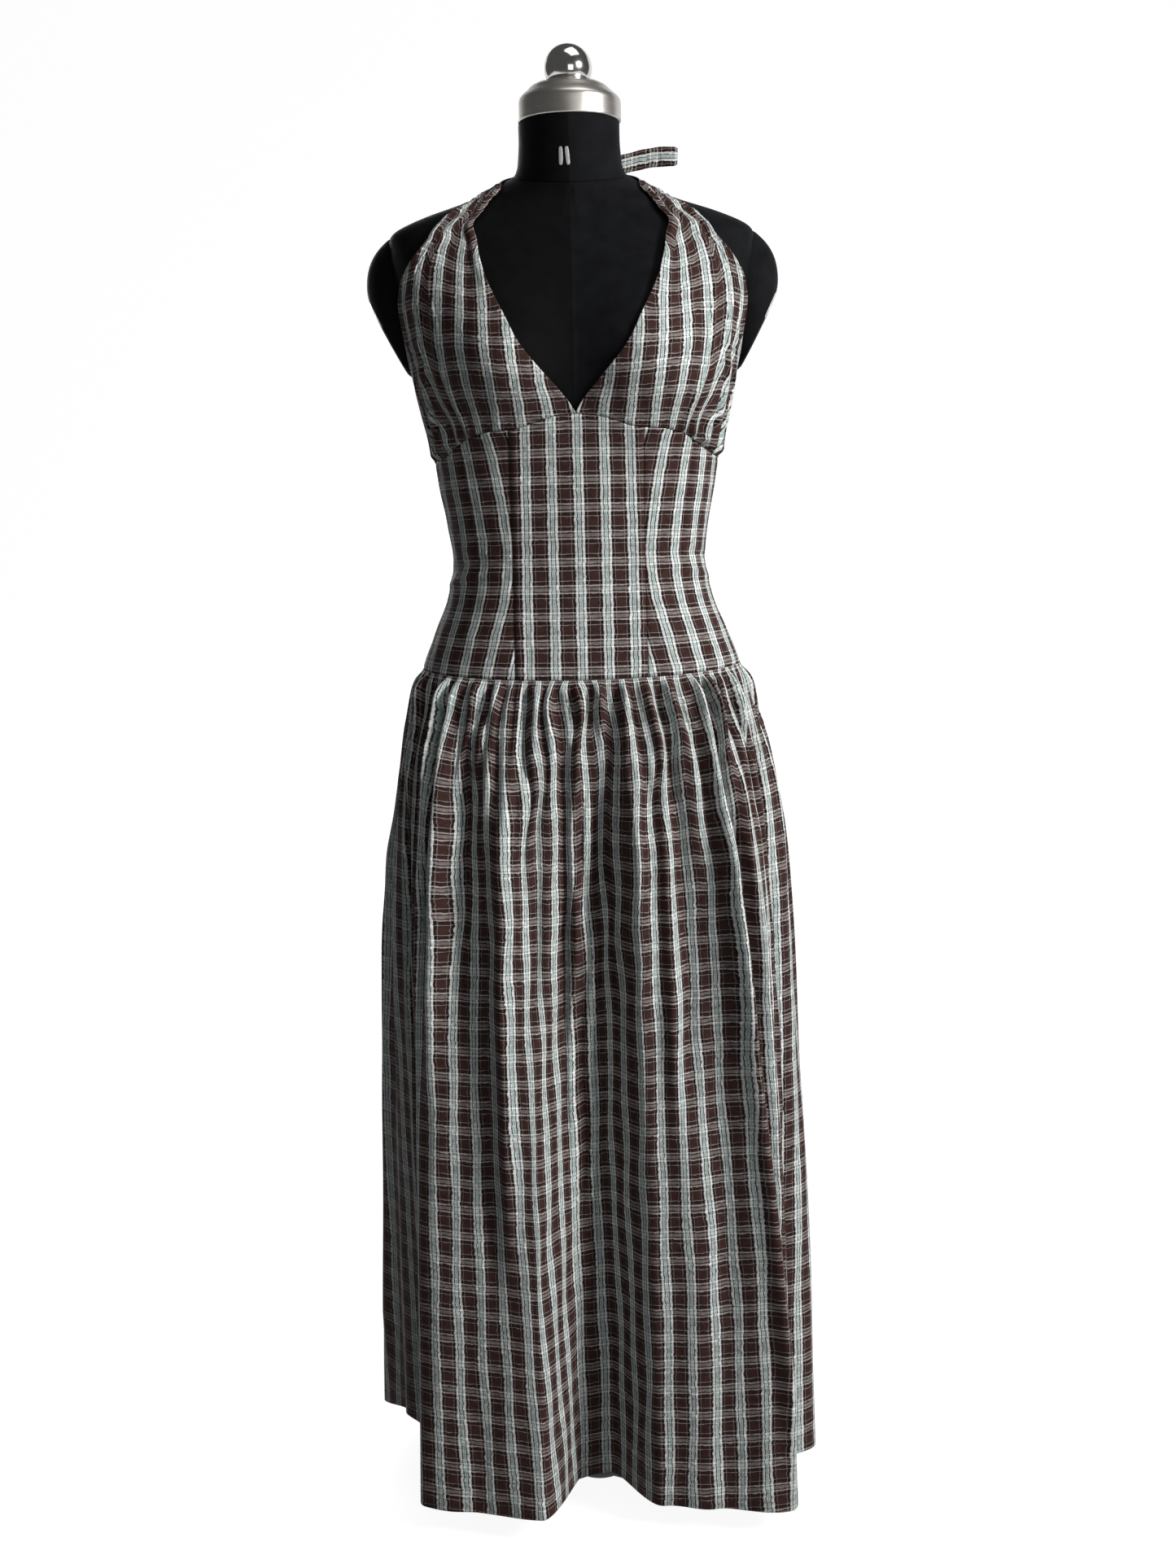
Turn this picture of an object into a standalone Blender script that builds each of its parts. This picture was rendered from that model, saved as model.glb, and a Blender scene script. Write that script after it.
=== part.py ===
"""Gathered halter dress on a limbless dress form, at real size.

Metres, +Z up. The origin is the middle of the stand's underside. The dress faces -Y, and
+X is the right-hand side as seen from the front. Every cut piece of the dress is a thin
wall of its own, laid over the form's surface, and the skirt hangs free below the hips.
"""
import math

import bpy
import numpy as np

SEAM_GAP = 0.0003            # clearance between neighbouring pieces
CLOTH = 0.0014               # thickness of the puckered cotton with its turnings
EASE = 0.0033                # form to the middle of the cloth
STRAP_EASE = 0.0021          # the same where the straps bear on the shoulders
TIE_WIDTH = 0.022
TIE_THICK = 0.0024

TORSO_BOTTOM = 0.800
NECK_BASE = 1.4445           # height of the neck seam, on the axis
NECK_RADIUS = 0.0535
CAP_BOTTOM = 1.4985
CAP_RADIUS = 0.0555
CAP_HEIGHT = 0.0415
BALL_RADIUS = 0.026
BALL_CENTRE = 1.5535

HEM_HEIGHT = 0.030
GATHERS_PER_HALF = 25        # small gathers that the dropped waist seam holds, front or back
COLUMNS_PER_GATHER = 4
GATHER_HEIGHT = 0.0068       # crest to trough, just under the seam
GATHER_RISE = 0.012          # the drop in which they swell out of the seam
GATHER_FADE = 0.115          # the drop in which they fall away to a third
CUP_FOLDS = 7                # gathers that fan up from the outer end of the under-bust seam
CUP_FOLD_HEIGHT = 0.0042
CUP_FOLDS_FROM = 0.42        # share of the cup's seam where its gathers start
CUP_FOLDS_SPAN = 0.50        # share of the seam that they take up
CUP_SEAM_BLEND = 0.35        # share of the cup in which its rows ease out of the seam's curve
GATHERED_GAP = 0.0007        # clearance over a seam that holds gathers
PANEL_GAP = 0.00045           # clearance between fitted panels, whose walls lean together
SKIRT_SIDE_GAP = 0.0016      # clearance between the skirt's halves, taken at the seam
SKIRT_SEAM_TURN = 0.006      # the drop in which the skirt turns out of the bodice's line

POLE_RADIUS = 0.016
BASE_THICK = 0.010
BASE_HUB_RADIUS = 0.028
BASE_LEG_LENGTH = 0.150
BASE_LEG_HALF_WIDTH = 0.012
BASE_LEG_ANGLES = (-150.0, -30.0, 90.0)

# The form's own sections. Columns: height on the axis, half width, depth to the front,
# depth to the back, tilt (rise per metre towards the back), squareness of the oval.
FORM_SECTIONS = np.array([
    (0.800, 0.1680, 0.104, 0.116, 0.00, 0.12),
    (0.860, 0.1730, 0.108, 0.121, 0.00, 0.12),
    (0.920, 0.1705, 0.107, 0.116, 0.00, 0.12),
    (0.960, 0.1560, 0.102, 0.105, 0.00, 0.12),
    (1.000, 0.1400, 0.097, 0.093, 0.00, 0.12),
    (1.040, 0.1325, 0.094, 0.085, 0.00, 0.12),
    (1.080, 0.1370, 0.096, 0.086, 0.00, 0.12),
    (1.120, 0.1445, 0.099, 0.093, 0.00, 0.12),
    (1.160, 0.1510, 0.102, 0.101, 0.00, 0.13),
    (1.200, 0.1600, 0.104, 0.108, 0.00, 0.15),
    (1.240, 0.1705, 0.104, 0.113, 0.00, 0.18),
    (1.290, 0.1800, 0.099, 0.115, 0.00, 0.24),
    (1.330, 0.1870, 0.090, 0.108, 0.00, 0.30),
    (1.365, 0.1920, 0.077, 0.094, 0.00, 0.30),
    (1.388, 0.1880, 0.064, 0.079, 0.03, 0.28),
    (1.404, 0.1560, 0.057, 0.070, 0.08, 0.20),
    (1.420, 0.1100, 0.054, 0.064, 0.16, 0.12),
    (1.434, 0.0780, 0.053, 0.060, 0.24, 0.05),
    (1.4445, 0.0600, 0.054, 0.058, 0.30, 0.00)])

BUST_OUT = 0.078             # each side's fullness: how far out, how high and how large
BUST_HEIGHT = 1.238
BUST_SPREAD = 0.064
BUST_RISE = 0.085
BUST_FALL = 0.052
BUST_DEPTH = 0.038
BUST_VALLEY = 0.018          # rounds the hollow between the two sides

# The under-bust seam and the top of the back, by angle from the front centre.
# Columns: degrees round the body, height.
UNDER_BUST = np.array([
    (0.0, 1.1905), (8.6, 1.187), (20.0, 1.177), (33.0, 1.174), (42.0, 1.169),
    (55.5, 1.156), (78.0, 1.147), (90.0, 1.146), (110.0, 1.144), (180.0, 1.138)])
DROP_WAIST_FRONT = 0.9165
DROP_WAIST_RISE = 0.009      # the seam is this much higher at the sides and back
FRONT_PANEL_HALF = 0.0685    # half the width of the front panel between the princess seams

# One cup, from the under-bust seam up over the shoulder, where its strap is sewn on.
# Columns: degrees and height on the neckline edge, degrees and height on the armhole edge.
CUP_ROWS = np.array([
    (0.0, 1.1905, 90.0, 1.146), (3.0, 1.205, 90.0, 1.170), (8.0, 1.224, 90.0, 1.195),
    (13.0, 1.2435, 87.0, 1.218), (16.4, 1.263, 80.0, 1.240), (18.6, 1.284, 74.0, 1.262),
    (20.2, 1.305, 71.0, 1.284), (21.1, 1.326, 69.0, 1.304), (21.3, 1.347, 63.5, 1.3225),
    (21.5, 1.367, 54.0, 1.341), (22.5, 1.387, 43.5, 1.363), (25.0, 1.402, 38.5, 1.386),
    (31.0, 1.4123, 44.0, 1.4010), (42.0, 1.4235, 54.0, 1.4120), (57.0, 1.4325, 70.0, 1.4225),
    (76.0, 1.4365, 84.0, 1.4270)])
STRAP_TOP = 1.4365           # the strap's edge beside the neck, where it starts
STRAP_LOW = 1.4270           # its other edge
STRAP_NAPE_TOP = 1.4405      # the same two edges at the knot
STRAP_NAPE_LOW = 1.4285
STRAP_END = 174.6            # degrees round the body where the strap goes into the knot

# The skirt's plan before its folds. Columns: height, half width, depth to front, to back.
SKIRT_SECTIONS = np.array([
    (0.030, 0.2340, 0.150, 0.170), (0.200, 0.2340, 0.148, 0.168), (0.445, 0.2320, 0.143, 0.163),
    (0.640, 0.2260, 0.136, 0.155), (0.760, 0.2150, 0.128, 0.144), (0.850, 0.1985, 0.119, 0.131),
    (0.895, 0.1830, 0.113, 0.122), (0.9255, 0.1720, 0.1101, 0.1185)])

# The skirt's long folds at the hem. Columns: degrees round, how far out of the plan.
HEM_FOLDS = np.array([
    (-46.0, 0.036), (-28.0, 0.022), (-12.0, 0.026), (1.0, -0.066), (13.0, 0.008),
    (27.0, 0.022), (43.0, 0.058), (66.0, -0.030), (86.0, 0.012), (108.0, -0.016),
    (130.0, 0.032), (150.0, -0.026), (170.0, 0.026), (190.0, -0.024), (211.0, 0.020),
    (236.0, 0.058), (258.0, 0.026), (280.0, 0.002), (300.0, -0.032), (314.0, 0.036)])
FOLD_GROWTH = 0.8            # the folds grow with this power of the drop


def smooth_column(table, column, height):
    """A table's column at any height, by cubic pieces that pass through its rows."""
    rows = table[:, 0]
    values = table[:, column]
    slopes = np.gradient(values, rows)
    index = np.clip(np.searchsorted(rows, height) - 1, 0, len(rows) - 2)
    span = rows[index + 1] - rows[index]
    t = (height - rows[index]) / span
    start = (2 * t**3 - 3 * t**2 + 1) * values[index] + (t**3 - 2 * t**2 + t) * span * slopes[index]
    end = (3 * t**2 - 2 * t**3) * values[index + 1] + (t**3 - t**2) * span * slopes[index + 1]
    return start + end


def form_point(angle, height):
    """Point of the form: a squared oval at each height, tilted near the neck, with a bust."""
    half, front, back, tilt, square = [smooth_column(FORM_SECTIONS, k, height) for k in range(1, 6)]
    sine, cosine = np.sin(angle), np.cos(angle)
    x = half * sine * (1 + square * cosine**2)
    y = -np.where(cosine > 0, front, back) * cosine * (1 + square * sine**2)
    aside = np.sqrt(x**2 + BUST_VALLEY**2)
    across = np.exp(-((aside - BUST_OUT) / BUST_SPREAD)**2)
    reach = np.where(height > BUST_HEIGHT, BUST_RISE, BUST_FALL)
    up = np.exp(-((height - BUST_HEIGHT) / reach)**2)
    y = y - BUST_DEPTH * across * up * np.clip(2.5 * cosine, 0, 1)
    return np.stack([x, y, height + tilt * y], axis=-1)


def unit(vectors):
    return vectors / np.linalg.norm(vectors, axis=-1, keepdims=True)


def form_normal(angle, height, step=1e-4):
    """Outward direction of the form, from the two slopes of its surface."""
    around = form_point(angle + step, height) - form_point(angle - step, height)
    upward = form_point(angle, height + step) - form_point(angle, height - step)
    return unit(np.cross(around, upward))


def under_bust(angle):
    """Height of the under-bust seam, and behind the arms of the back's top edge."""
    return smooth_column(UNDER_BUST, 1, np.minimum(np.abs(np.degrees(angle)), UNDER_BUST[-1, 0]))


def drop_waist(angle):
    """Height of the seam between bodice and skirt, lowest at the front centre."""
    lift = np.where(np.cos(angle) > 0, np.sin(angle)**2, 1.0)
    return DROP_WAIST_FRONT + DROP_WAIST_RISE * lift


def princess(share):
    """Angle of the front panel's edge, share 0 at the dropped waist and 1 under the bust.

    The panel keeps its width, so its edge turns further round where the body is narrow.
    """
    near = math.radians(24.0)
    height = drop_waist(near) * (1 - share) + under_bust(near) * share
    bulge = 1 + FORM_SECTIONS[0, 5] * math.cos(near)**2
    return np.arcsin(FRONT_PANEL_HALF / (bulge * smooth_column(FORM_SECTIONS, 1, height)))


def material(name, colour, roughness, metallic=0.0):
    made = bpy.data.materials.new(name)
    made.use_nodes = True
    shader = made.node_tree.nodes["Principled BSDF"]
    shader.inputs["Base Color"].default_value = (*colour, 1.0)
    shader.inputs["Roughness"].default_value = roughness
    shader.inputs["Metallic"].default_value = metallic
    return made


def add_object(collection, name, vertices, faces, made):
    """A mesh object with its faces turned to the outside, smooth apart from its edges."""
    mesh = bpy.data.meshes.new(name)
    mesh.from_pydata([tuple(v) for v in vertices], [], faces)
    mesh.validate()
    mesh.materials.append(made)
    mesh.shade_smooth()
    mesh.set_sharp_from_angle(angle=math.radians(50))
    item = bpy.data.objects.new(name, mesh)
    collection.objects.link(item)
    return item


def add_cloth(collection, name, middle, thickness, made):
    """A cloth piece: an open grid of points, with half of its thickness on either side.

    The grid's first axis runs up the piece and its second round the body, to the right.
    """
    rows, columns = middle.shape[:2]
    faces = []
    for row in range(rows - 1):
        for column in range(columns - 1):
            a = row * columns + column
            b, c, d = a + 1, a + columns + 1, a + columns
            faces.append((a, b, c))
            faces.append((a, c, d))
    item = add_object(collection, name, middle.reshape(-1, 3), faces, made)
    wall = item.modifiers.new("wall", "SOLIDIFY")
    wall.thickness = thickness
    wall.offset = 0.0
    return item


def add_loft(collection, name, rings, made):
    """A closed solid through rings of equal count, which run round to the right, lowest first."""
    count = len(rings[0])
    faces = [tuple(range(count - 1, -1, -1))]
    for level in range(len(rings) - 1):
        for k in range(count):
            a = level * count + k
            b = level * count + (k + 1) % count
            faces.append((a, b, b + count, a + count))
    faces.append(tuple(range((len(rings) - 1) * count, len(rings) * count)))
    return add_object(collection, name, np.concatenate(rings), faces, made)


def add_turned(collection, name, profile, segments, made):
    """A turned solid: a profile of (radius, height) from the top down the outer side."""
    mesh = bpy.data.meshes.new(name)
    edges = [(k, k + 1) for k in range(len(profile) - 1)]
    mesh.from_pydata([(radius, 0.0, height) for radius, height in profile], edges, [])
    mesh.materials.append(made)
    item = bpy.data.objects.new(name, mesh)
    collection.objects.link(item)
    screw = item.modifiers.new("turn", "SCREW")
    screw.steps = segments
    screw.render_steps = segments
    screw.use_merge_vertices = True
    screw.merge_threshold = 0.00001
    screw.use_smooth_shade = True
    return item


def lay_on_form(angles, heights, ease=EASE):
    """Middle of a cloth piece that lies on the form."""
    return form_point(angles, heights) + ease * form_normal(angles, heights)


def form_rings(heights, count, grow=0.0):
    """Rings of the form's surface, or of the surface grown by a clearance."""
    angles = np.linspace(0, 2 * math.pi, count, endpoint=False)
    rings = []
    for height in heights:
        level = np.full(count, height)
        rings.append(form_point(angles, level) + grow * form_normal(angles, level))
    return rings


TORSO_HEIGHTS = (TORSO_BOTTOM, 0.87, 0.925, 0.97, 1.01, 1.05, 1.10, 1.15, 1.185, 1.212, 1.24, 1.268,
                 1.30, 1.332, 1.358, 1.377, 1.391, 1.403, 1.415, 1.429, NECK_BASE)
TORSO_COLUMNS = 40


def add_torso(collection, made):
    return add_loft(collection, "form_torso", form_rings(TORSO_HEIGHTS, TORSO_COLUMNS), made)


# The shoulder cap, seen from the front. Columns: top of a section out and up, bottom of it
# out and up, half depth. The first lies inside the torso, the last is the flat arm plate.
SHOULDER_SECTIONS = (
    (0.165, 1.372, 0.150, 1.262, 0.032),
    (0.188, 1.3855, 0.166, 1.246, 0.042),
    (0.203, 1.377, 0.1735, 1.2405, 0.043),
    (0.2145, 1.361, 0.1750, 1.2400, 0.042),
    (0.2195, 1.342, 0.1760, 1.2402, 0.040),
    (0.2185, 1.322, 0.1768, 1.2406, 0.037),
    (0.2100, 1.303, 0.1775, 1.2411, 0.032))
SHOULDER_COLUMNS = 24
SHOULDER_BACK = 0.009        # the stump's middle lies this far behind the neck's


def add_shoulder(collection, cutters, name, side, made):
    """A rounded shoulder stump, cut to the torso's side and closed by a flat oblique plate."""
    turn = np.linspace(0, 2 * math.pi, SHOULDER_COLUMNS, endpoint=False)
    rings = []
    for top_x, top_z, low_x, low_z, half_depth in SHOULDER_SECTIONS:
        middle = np.array([(top_x + low_x) / 2, SHOULDER_BACK, (top_z + low_z) / 2])
        upward = np.array([(top_x - low_x) / 2, 0.0, (top_z - low_z) / 2])
        backward = np.array([0.0, half_depth, 0.0])
        ring = middle + np.outer(np.cos(turn), upward) + np.outer(np.sin(turn), -backward)
        if side < 0:
            ring = (ring * (-1.0, 1.0, 1.0))[::-1]
        rings.append(ring)
    stump = add_loft(collection, name, rings, made)
    cutter = add_loft(cutters, name + "_cut", form_rings(TORSO_HEIGHTS, TORSO_COLUMNS, SEAM_GAP), made)
    cutter.hide_render = True
    cutter.display_type = "WIRE"
    cut = stump.modifiers.new("torso side", "BOOLEAN")
    cut.operation = "DIFFERENCE"
    cut.object = cutter
    return stump


def add_neck(collection, made):
    """The neck: from the tilted seam ring up to the round top under the metal cap."""
    count = 40
    turn = np.linspace(0, 2 * math.pi, count, endpoint=False)
    foot = form_rings((NECK_BASE,), count)[0] + (0.0, 0.0, SEAM_GAP)
    # Columns: share of the way up, radius
    waist_rows = ((0.22, 0.0552), (0.55, 0.0537), (1.0, NECK_RADIUS))
    top = CAP_BOTTOM - SEAM_GAP
    rings = [foot]
    for share, radius in waist_rows:
        level = foot[:, 2] * (1 - share) + top * share
        rings.append(np.stack([radius * np.sin(turn), -radius * np.cos(turn), level], axis=-1))
    return add_loft(collection, "form_neck", rings, made)


def add_cap(collection, made):
    """The metal neck cap: an upright band, a rounded shoulder and a low dome."""
    top = CAP_BOTTOM + CAP_HEIGHT
    # Columns: share of the cap's radius, share of its height
    rows = ((0.46, 1.0), (0.60, 0.96), (0.73, 0.87), (0.83, 0.74), (0.92, 0.64), (0.98, 0.56),
            (1.0, 0.48), (1.0, 0.0))
    profile = [(0.0, top)] + [(CAP_RADIUS * r, CAP_BOTTOM + CAP_HEIGHT * h) for r, h in rows]
    profile.append((0.0, CAP_BOTTOM))
    return add_turned(collection, "form_neck_cap", profile, 36, made)


def add_finial(collection, made):
    """The ball on the cap, cut flat where it stands."""
    seat = CAP_BOTTOM + CAP_HEIGHT + SEAM_GAP
    lowest = math.acos((seat - BALL_CENTRE) / BALL_RADIUS)
    steps = 10
    profile = []
    for k in range(steps):
        polar = lowest * k / (steps - 1)
        profile.append((BALL_RADIUS * math.sin(polar), BALL_CENTRE + BALL_RADIUS * math.cos(polar)))
    profile.append((0.0, seat))
    return add_turned(collection, "form_finial", profile, 22, made)


def add_pole(collection, made):
    """The upright tube, from the foot to the underside of the torso."""
    low = BASE_THICK + SEAM_GAP
    high = TORSO_BOTTOM - SEAM_GAP
    bpy.ops.mesh.primitive_cylinder_add(vertices=24, radius=POLE_RADIUS, depth=high - low,
                                        location=(0.0, 0.0, (high + low) / 2))
    item = bpy.context.object
    item.name = "form_pole"
    item.data.materials.append(made)
    item.data.shade_smooth()
    item.data.set_sharp_from_angle(angle=math.radians(50))
    for home in list(item.users_collection):
        home.objects.unlink(item)
    collection.objects.link(item)
    return item


def add_base(collection, made):
    """The flat three-legged foot, one plate with round leg ends, flat on the floor."""
    outline = []
    for angle in BASE_LEG_ANGLES:
        along = np.array([math.cos(math.radians(angle)), math.sin(math.radians(angle))])
        across = np.array([-along[1], along[0]])
        end = BASE_LEG_LENGTH - BASE_LEG_HALF_WIDTH
        start = math.sqrt(BASE_HUB_RADIUS**2 - BASE_LEG_HALF_WIDTH**2)
        outline.append(along * start - across * BASE_LEG_HALF_WIDTH)
        for k in range(9):
            swing = math.pi * (k / 8 - 0.5)
            outline.append(along * (end + BASE_LEG_HALF_WIDTH * math.cos(swing))
                           + across * BASE_LEG_HALF_WIDTH * math.sin(swing))
        outline.append(along * start + across * BASE_LEG_HALF_WIDTH)
        edge = math.degrees(math.asin(BASE_LEG_HALF_WIDTH / BASE_HUB_RADIUS))
        for k in range(1, 8):
            hub = math.radians(angle + edge + (120 - 2 * edge) * k / 8)
            outline.append(BASE_HUB_RADIUS * np.array([math.cos(hub), math.sin(hub)]))
    plate = bpy.data.curves.new("form_base", "CURVE")
    plate.dimensions = "2D"
    plate.fill_mode = "BOTH"
    plate.extrude = BASE_THICK / 2
    plate.materials.append(made)
    edge = plate.splines.new("POLY")
    edge.points.add(len(outline) - 1)
    for point, (x, y) in zip(edge.points, outline):
        point.co = (x, y, 0.0, 1.0)
    edge.use_cyclic_u = True
    item = bpy.data.objects.new("form_base", plate)
    item.location.z = BASE_THICK / 2
    collection.objects.link(item)
    return item


def cup_fold(share_round, share_up):
    """Height of the cup's gathers: they start at the seam's outer half and die out upwards."""
    place = np.clip((share_round - CUP_FOLDS_FROM) / CUP_FOLDS_SPAN, 0, 1)
    window = np.sin(math.pi * place)**0.5 * (place > 0) * (place < 1)
    fade = np.clip(share_up / 0.03, 0, 1) * np.exp(-share_up / 0.17)
    wave = 0.5 - 0.5 * np.cos(2 * math.pi * CUP_FOLDS * place)
    return CUP_FOLD_HEIGHT * window * fade * wave


def add_cup(collection, name, side, made):
    """A cup: wide and gathered at the seam, drawn in to the strap's width over the shoulder."""
    rows = len(CUP_ROWS)
    smooth_part = np.linspace(0, CUP_FOLDS_FROM, 8)
    gathered_part = CUP_FOLDS_FROM + CUP_FOLDS_SPAN * np.linspace(0, 1, 2 * CUP_FOLDS + 1)[1:]
    shares = np.concatenate([smooth_part, gathered_part, (0.96, 1.0)])
    neck_angle, neck_height, arm_angle, arm_height = [CUP_ROWS[:, k][:, None] for k in range(4)]
    edge_gap = np.degrees(SEAM_GAP / 2 / FORM_SECTIONS[8, 1])
    angle = np.radians((neck_angle + edge_gap) * (1 - shares) + (arm_angle - edge_gap) * shares)
    height = neck_height * (1 - shares) + arm_height * shares
    level = np.linspace(0, 1, rows)[:, None]
    blend = np.clip(1 - level / CUP_SEAM_BLEND, 0, 1)**2
    seam = under_bust(angle[0])
    straight = neck_height[0] * (1 - shares) + arm_height[0] * shares
    height = height + blend * (seam - straight) + (GATHERED_GAP - SEAM_GAP / 2) * (level == 0)
    seated = np.clip((level - 0.78) / 0.12, 0, 1)
    ease = EASE + (STRAP_EASE - EASE) * seated
    ease = ease + cup_fold(shares[None, :], level)
    middle = lay_on_form(angle, height, ease[..., None])
    if side < 0:
        middle = (middle * (-1.0, 1.0, 1.0))[:, ::-1]
    return add_cloth(collection, name, middle, CLOTH, made)


def add_strap(collection, name, side, made):
    """A strap from behind the shoulder, round the neck's foot, to the knot at the nape."""
    share = np.linspace(0, 1, 13)[:, None]
    across = np.linspace(0, 1, 4)[None, :]
    start_top, start_low = CUP_ROWS[-1, 0], CUP_ROWS[-1, 2]
    gap = np.degrees(GATHERED_GAP / FORM_SECTIONS[-1, 1])
    top_angle = (start_top + gap) * (1 - share) + STRAP_END * share
    low_angle = (start_low + gap) * (1 - share) + STRAP_END * share
    settle = 1 - (1 - share)**2
    top = STRAP_TOP * (1 - settle) + STRAP_NAPE_TOP * settle
    low = STRAP_LOW * (1 - settle) + STRAP_NAPE_LOW * settle
    angle = np.radians(top_angle * (1 - across) + low_angle * across)
    height = top * (1 - across) + low * across
    middle = lay_on_form(angle, height, STRAP_EASE)
    if side < 0:
        middle = (middle * (-1.0, 1.0, 1.0))[:, ::-1]
    return add_cloth(collection, name, middle, CLOTH, made)


def add_bodice_panel(collection, name, left, right, columns, made):
    """A fitted panel from the dropped waist up to the under-bust seam or the back's edge.

    left and right give each edge's angle for a share of the height.
    """
    share_up = np.linspace(0, 1, 10)[:, None]
    share_round = np.linspace(0, 1, columns)[None, :]
    gap = PANEL_GAP / 2 / FORM_SECTIONS[5, 1]
    angle = (left(share_up) + gap) * (1 - share_round) + (right(share_up) - gap) * share_round
    low = drop_waist(angle) + SEAM_GAP / 2
    high = under_bust(angle) - SEAM_GAP / 2
    height = low * (1 - share_up) + high * share_up
    return add_cloth(collection, name, lay_on_form(angle, height), CLOTH, made)


def add_bodice(collection, made):
    """Three front panels between princess seams, and one back panel between the side seams."""
    side = math.pi / 2

    def fixed(angle):
        return lambda share: np.full_like(share, angle)

    add_bodice_panel(collection, "midriff_centre", lambda s: -princess(s), princess, 9, made)
    add_bodice_panel(collection, "midriff_side_right", princess, fixed(side), 8, made)
    add_bodice_panel(collection, "midriff_side_left", fixed(-side), lambda s: -princess(s), 8, made)
    add_bodice_panel(collection, "midriff_back", fixed(side), fixed(3 * side), 17, made)


def hem_fold(angle):
    """How far the long folds stand out of the plan at the hem, eased between the rows."""
    start = HEM_FOLDS[0, 0]
    turned = (np.degrees(angle) - start) % 360.0 + start
    index = np.clip(np.searchsorted(HEM_FOLDS[:, 0], turned, side="right") - 1, 0, len(HEM_FOLDS) - 2)
    low, high = HEM_FOLDS[index], HEM_FOLDS[index + 1]
    share = (turned - low[..., 0]) / (high[..., 0] - low[..., 0])
    eased = 0.5 - 0.5 * np.cos(math.pi * np.clip(share, 0, 1))
    return low[..., 1] * (1 - eased) + high[..., 1] * eased


def gather_phase(angle):
    """Turns of the gathering wave by angle, with gathers of uneven width."""
    even = 2 * GATHERS_PER_HALF * angle
    return even + 1.3 * np.cos(3 * angle) + 0.9 * np.sin(6 * angle) + 0.8 * np.cos(7 * angle)


def skirt_point(angle, drop):
    """Point of the skirt's middle surface, by angle and by share of the drop to the hem.

    The plan widens from the seam to the hem. Small gathers stand out of it under the seam
    and die away, and long folds grow towards the hem.
    """
    seam = drop_waist(angle)
    height = seam + (HEM_HEIGHT - seam) * drop
    fall = seam - height
    half, front, back = [smooth_column(SKIRT_SECTIONS, k, height) for k in (1, 2, 3)]
    sine, cosine = np.sin(angle), np.cos(angle)
    square = FORM_SECTIONS[2, 5]
    depth = np.where(cosine > 0, front, back)
    plan = np.stack([half * sine * (1 + square * cosine**2), -depth * cosine * (1 + square * sine**2),
                     height], axis=-1)
    out = unit(np.stack([depth * sine, -half * cosine, np.zeros_like(height)], axis=-1))
    swell = (1 - np.exp(-fall / GATHER_RISE)) * np.exp(-fall / GATHER_FADE)
    crest = 0.5 + 0.5 * np.cos(gather_phase(angle))
    stand = GATHER_HEIGHT * swell * crest + hem_fold(angle) * drop**FOLD_GROWTH
    start = form_point(angle, seam) + EASE * form_normal(angle, seam)
    join = np.exp(-fall / SKIRT_SEAM_TURN)[..., None]
    below_seam = start + (0, 0, 1) * (height - seam)[..., None]
    return (plan + out * stand[..., None]) * (1 - join) + below_seam * join


def add_skirt(collection, name, start, end, made):
    """Half of the gathered skirt, from side seam to side seam."""
    fine = np.linspace(start, end, 4001)
    phase = gather_phase(fine)
    count = GATHERS_PER_HALF * COLUMNS_PER_GATHER
    gap = SKIRT_SIDE_GAP / 2 / SKIRT_SECTIONS[-1, 1]
    angle = np.interp(np.linspace(phase[0], phase[-1], count + 1), phase, fine)
    angle[0] += gap
    angle[-1] -= gap
    # Shares of the drop, close together where the gathers are
    drop = np.array([1.0, 0.78, 0.56, 0.37, 0.22, 0.12, 0.055, 0.018, 0.0])[:, None]
    angle = np.broadcast_to(angle[None, :], (len(drop), count + 1))
    drop = np.broadcast_to(drop, angle.shape)
    middle = skirt_point(angle, drop)
    middle[-1] -= (0.0, 0.0, GATHERED_GAP)
    return add_cloth(collection, name, middle, CLOTH, made)


KNOT_CENTRE = (0.0, 0.0697, 1.450)
KNOT_HALF = (0.0125, 0.0098, 0.0140)


def add_knot(collection, made):
    """The knot of the two straps at the nape, a pinched lump of cloth."""
    turn = np.linspace(0, 2 * math.pi, 16, endpoint=False)
    rings = []
    for k in range(9):
        polar = math.pi * (0.06 + 0.88 * k / 8)
        width = math.sin(polar) * (1 + 0.10 * math.cos(2 * polar))
        level = KNOT_CENTRE[2] - KNOT_HALF[2] * math.cos(polar)
        rings.append(np.stack([KNOT_CENTRE[0] + KNOT_HALF[0] * width * np.sin(turn),
                               KNOT_CENTRE[1] - KNOT_HALF[1] * width * np.cos(turn),
                               np.full(len(turn), level)], axis=-1))
    return add_loft(collection, "halter_knot", rings, made)


def add_tie(collection, name, path, across, made):
    """A flat tie end: a band of even width along a short path."""
    path = np.array(path)
    across = unit(np.array(across, dtype=float))
    shares = np.array([-0.5, -0.25, 0.0, 0.25, 0.5])
    middle = path[None, :, :] + (shares * TIE_WIDTH)[:, None, None] * across[None, None, :]
    return add_cloth(collection, name, middle, TIE_THICK, made)


def add_ties(collection, made):
    """One end stands out to the right behind the neck, the other hangs down the back."""
    # Columns: out to the right, back, up
    right = ((0.0105, 0.0760, 1.4560), (0.030, 0.0800, 1.4590), (0.050, 0.0810, 1.4630),
             (0.072, 0.0790, 1.4675), (0.094, 0.0750, 1.4700), (0.118, 0.0700, 1.4695))
    add_tie(collection, "tie_end_right", right, (0.05, 0.15, 1.0), made)
    heights = np.linspace(1.418, 1.300, 7)
    angle = np.full(len(heights), math.pi + 0.03)
    lift = TIE_THICK / 2 + 0.0012
    down = form_point(angle, heights) + lift * form_normal(angle, heights)
    add_tie(collection, "tie_end_back", down, (1.0, 0.0, 0.0), made)


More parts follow.
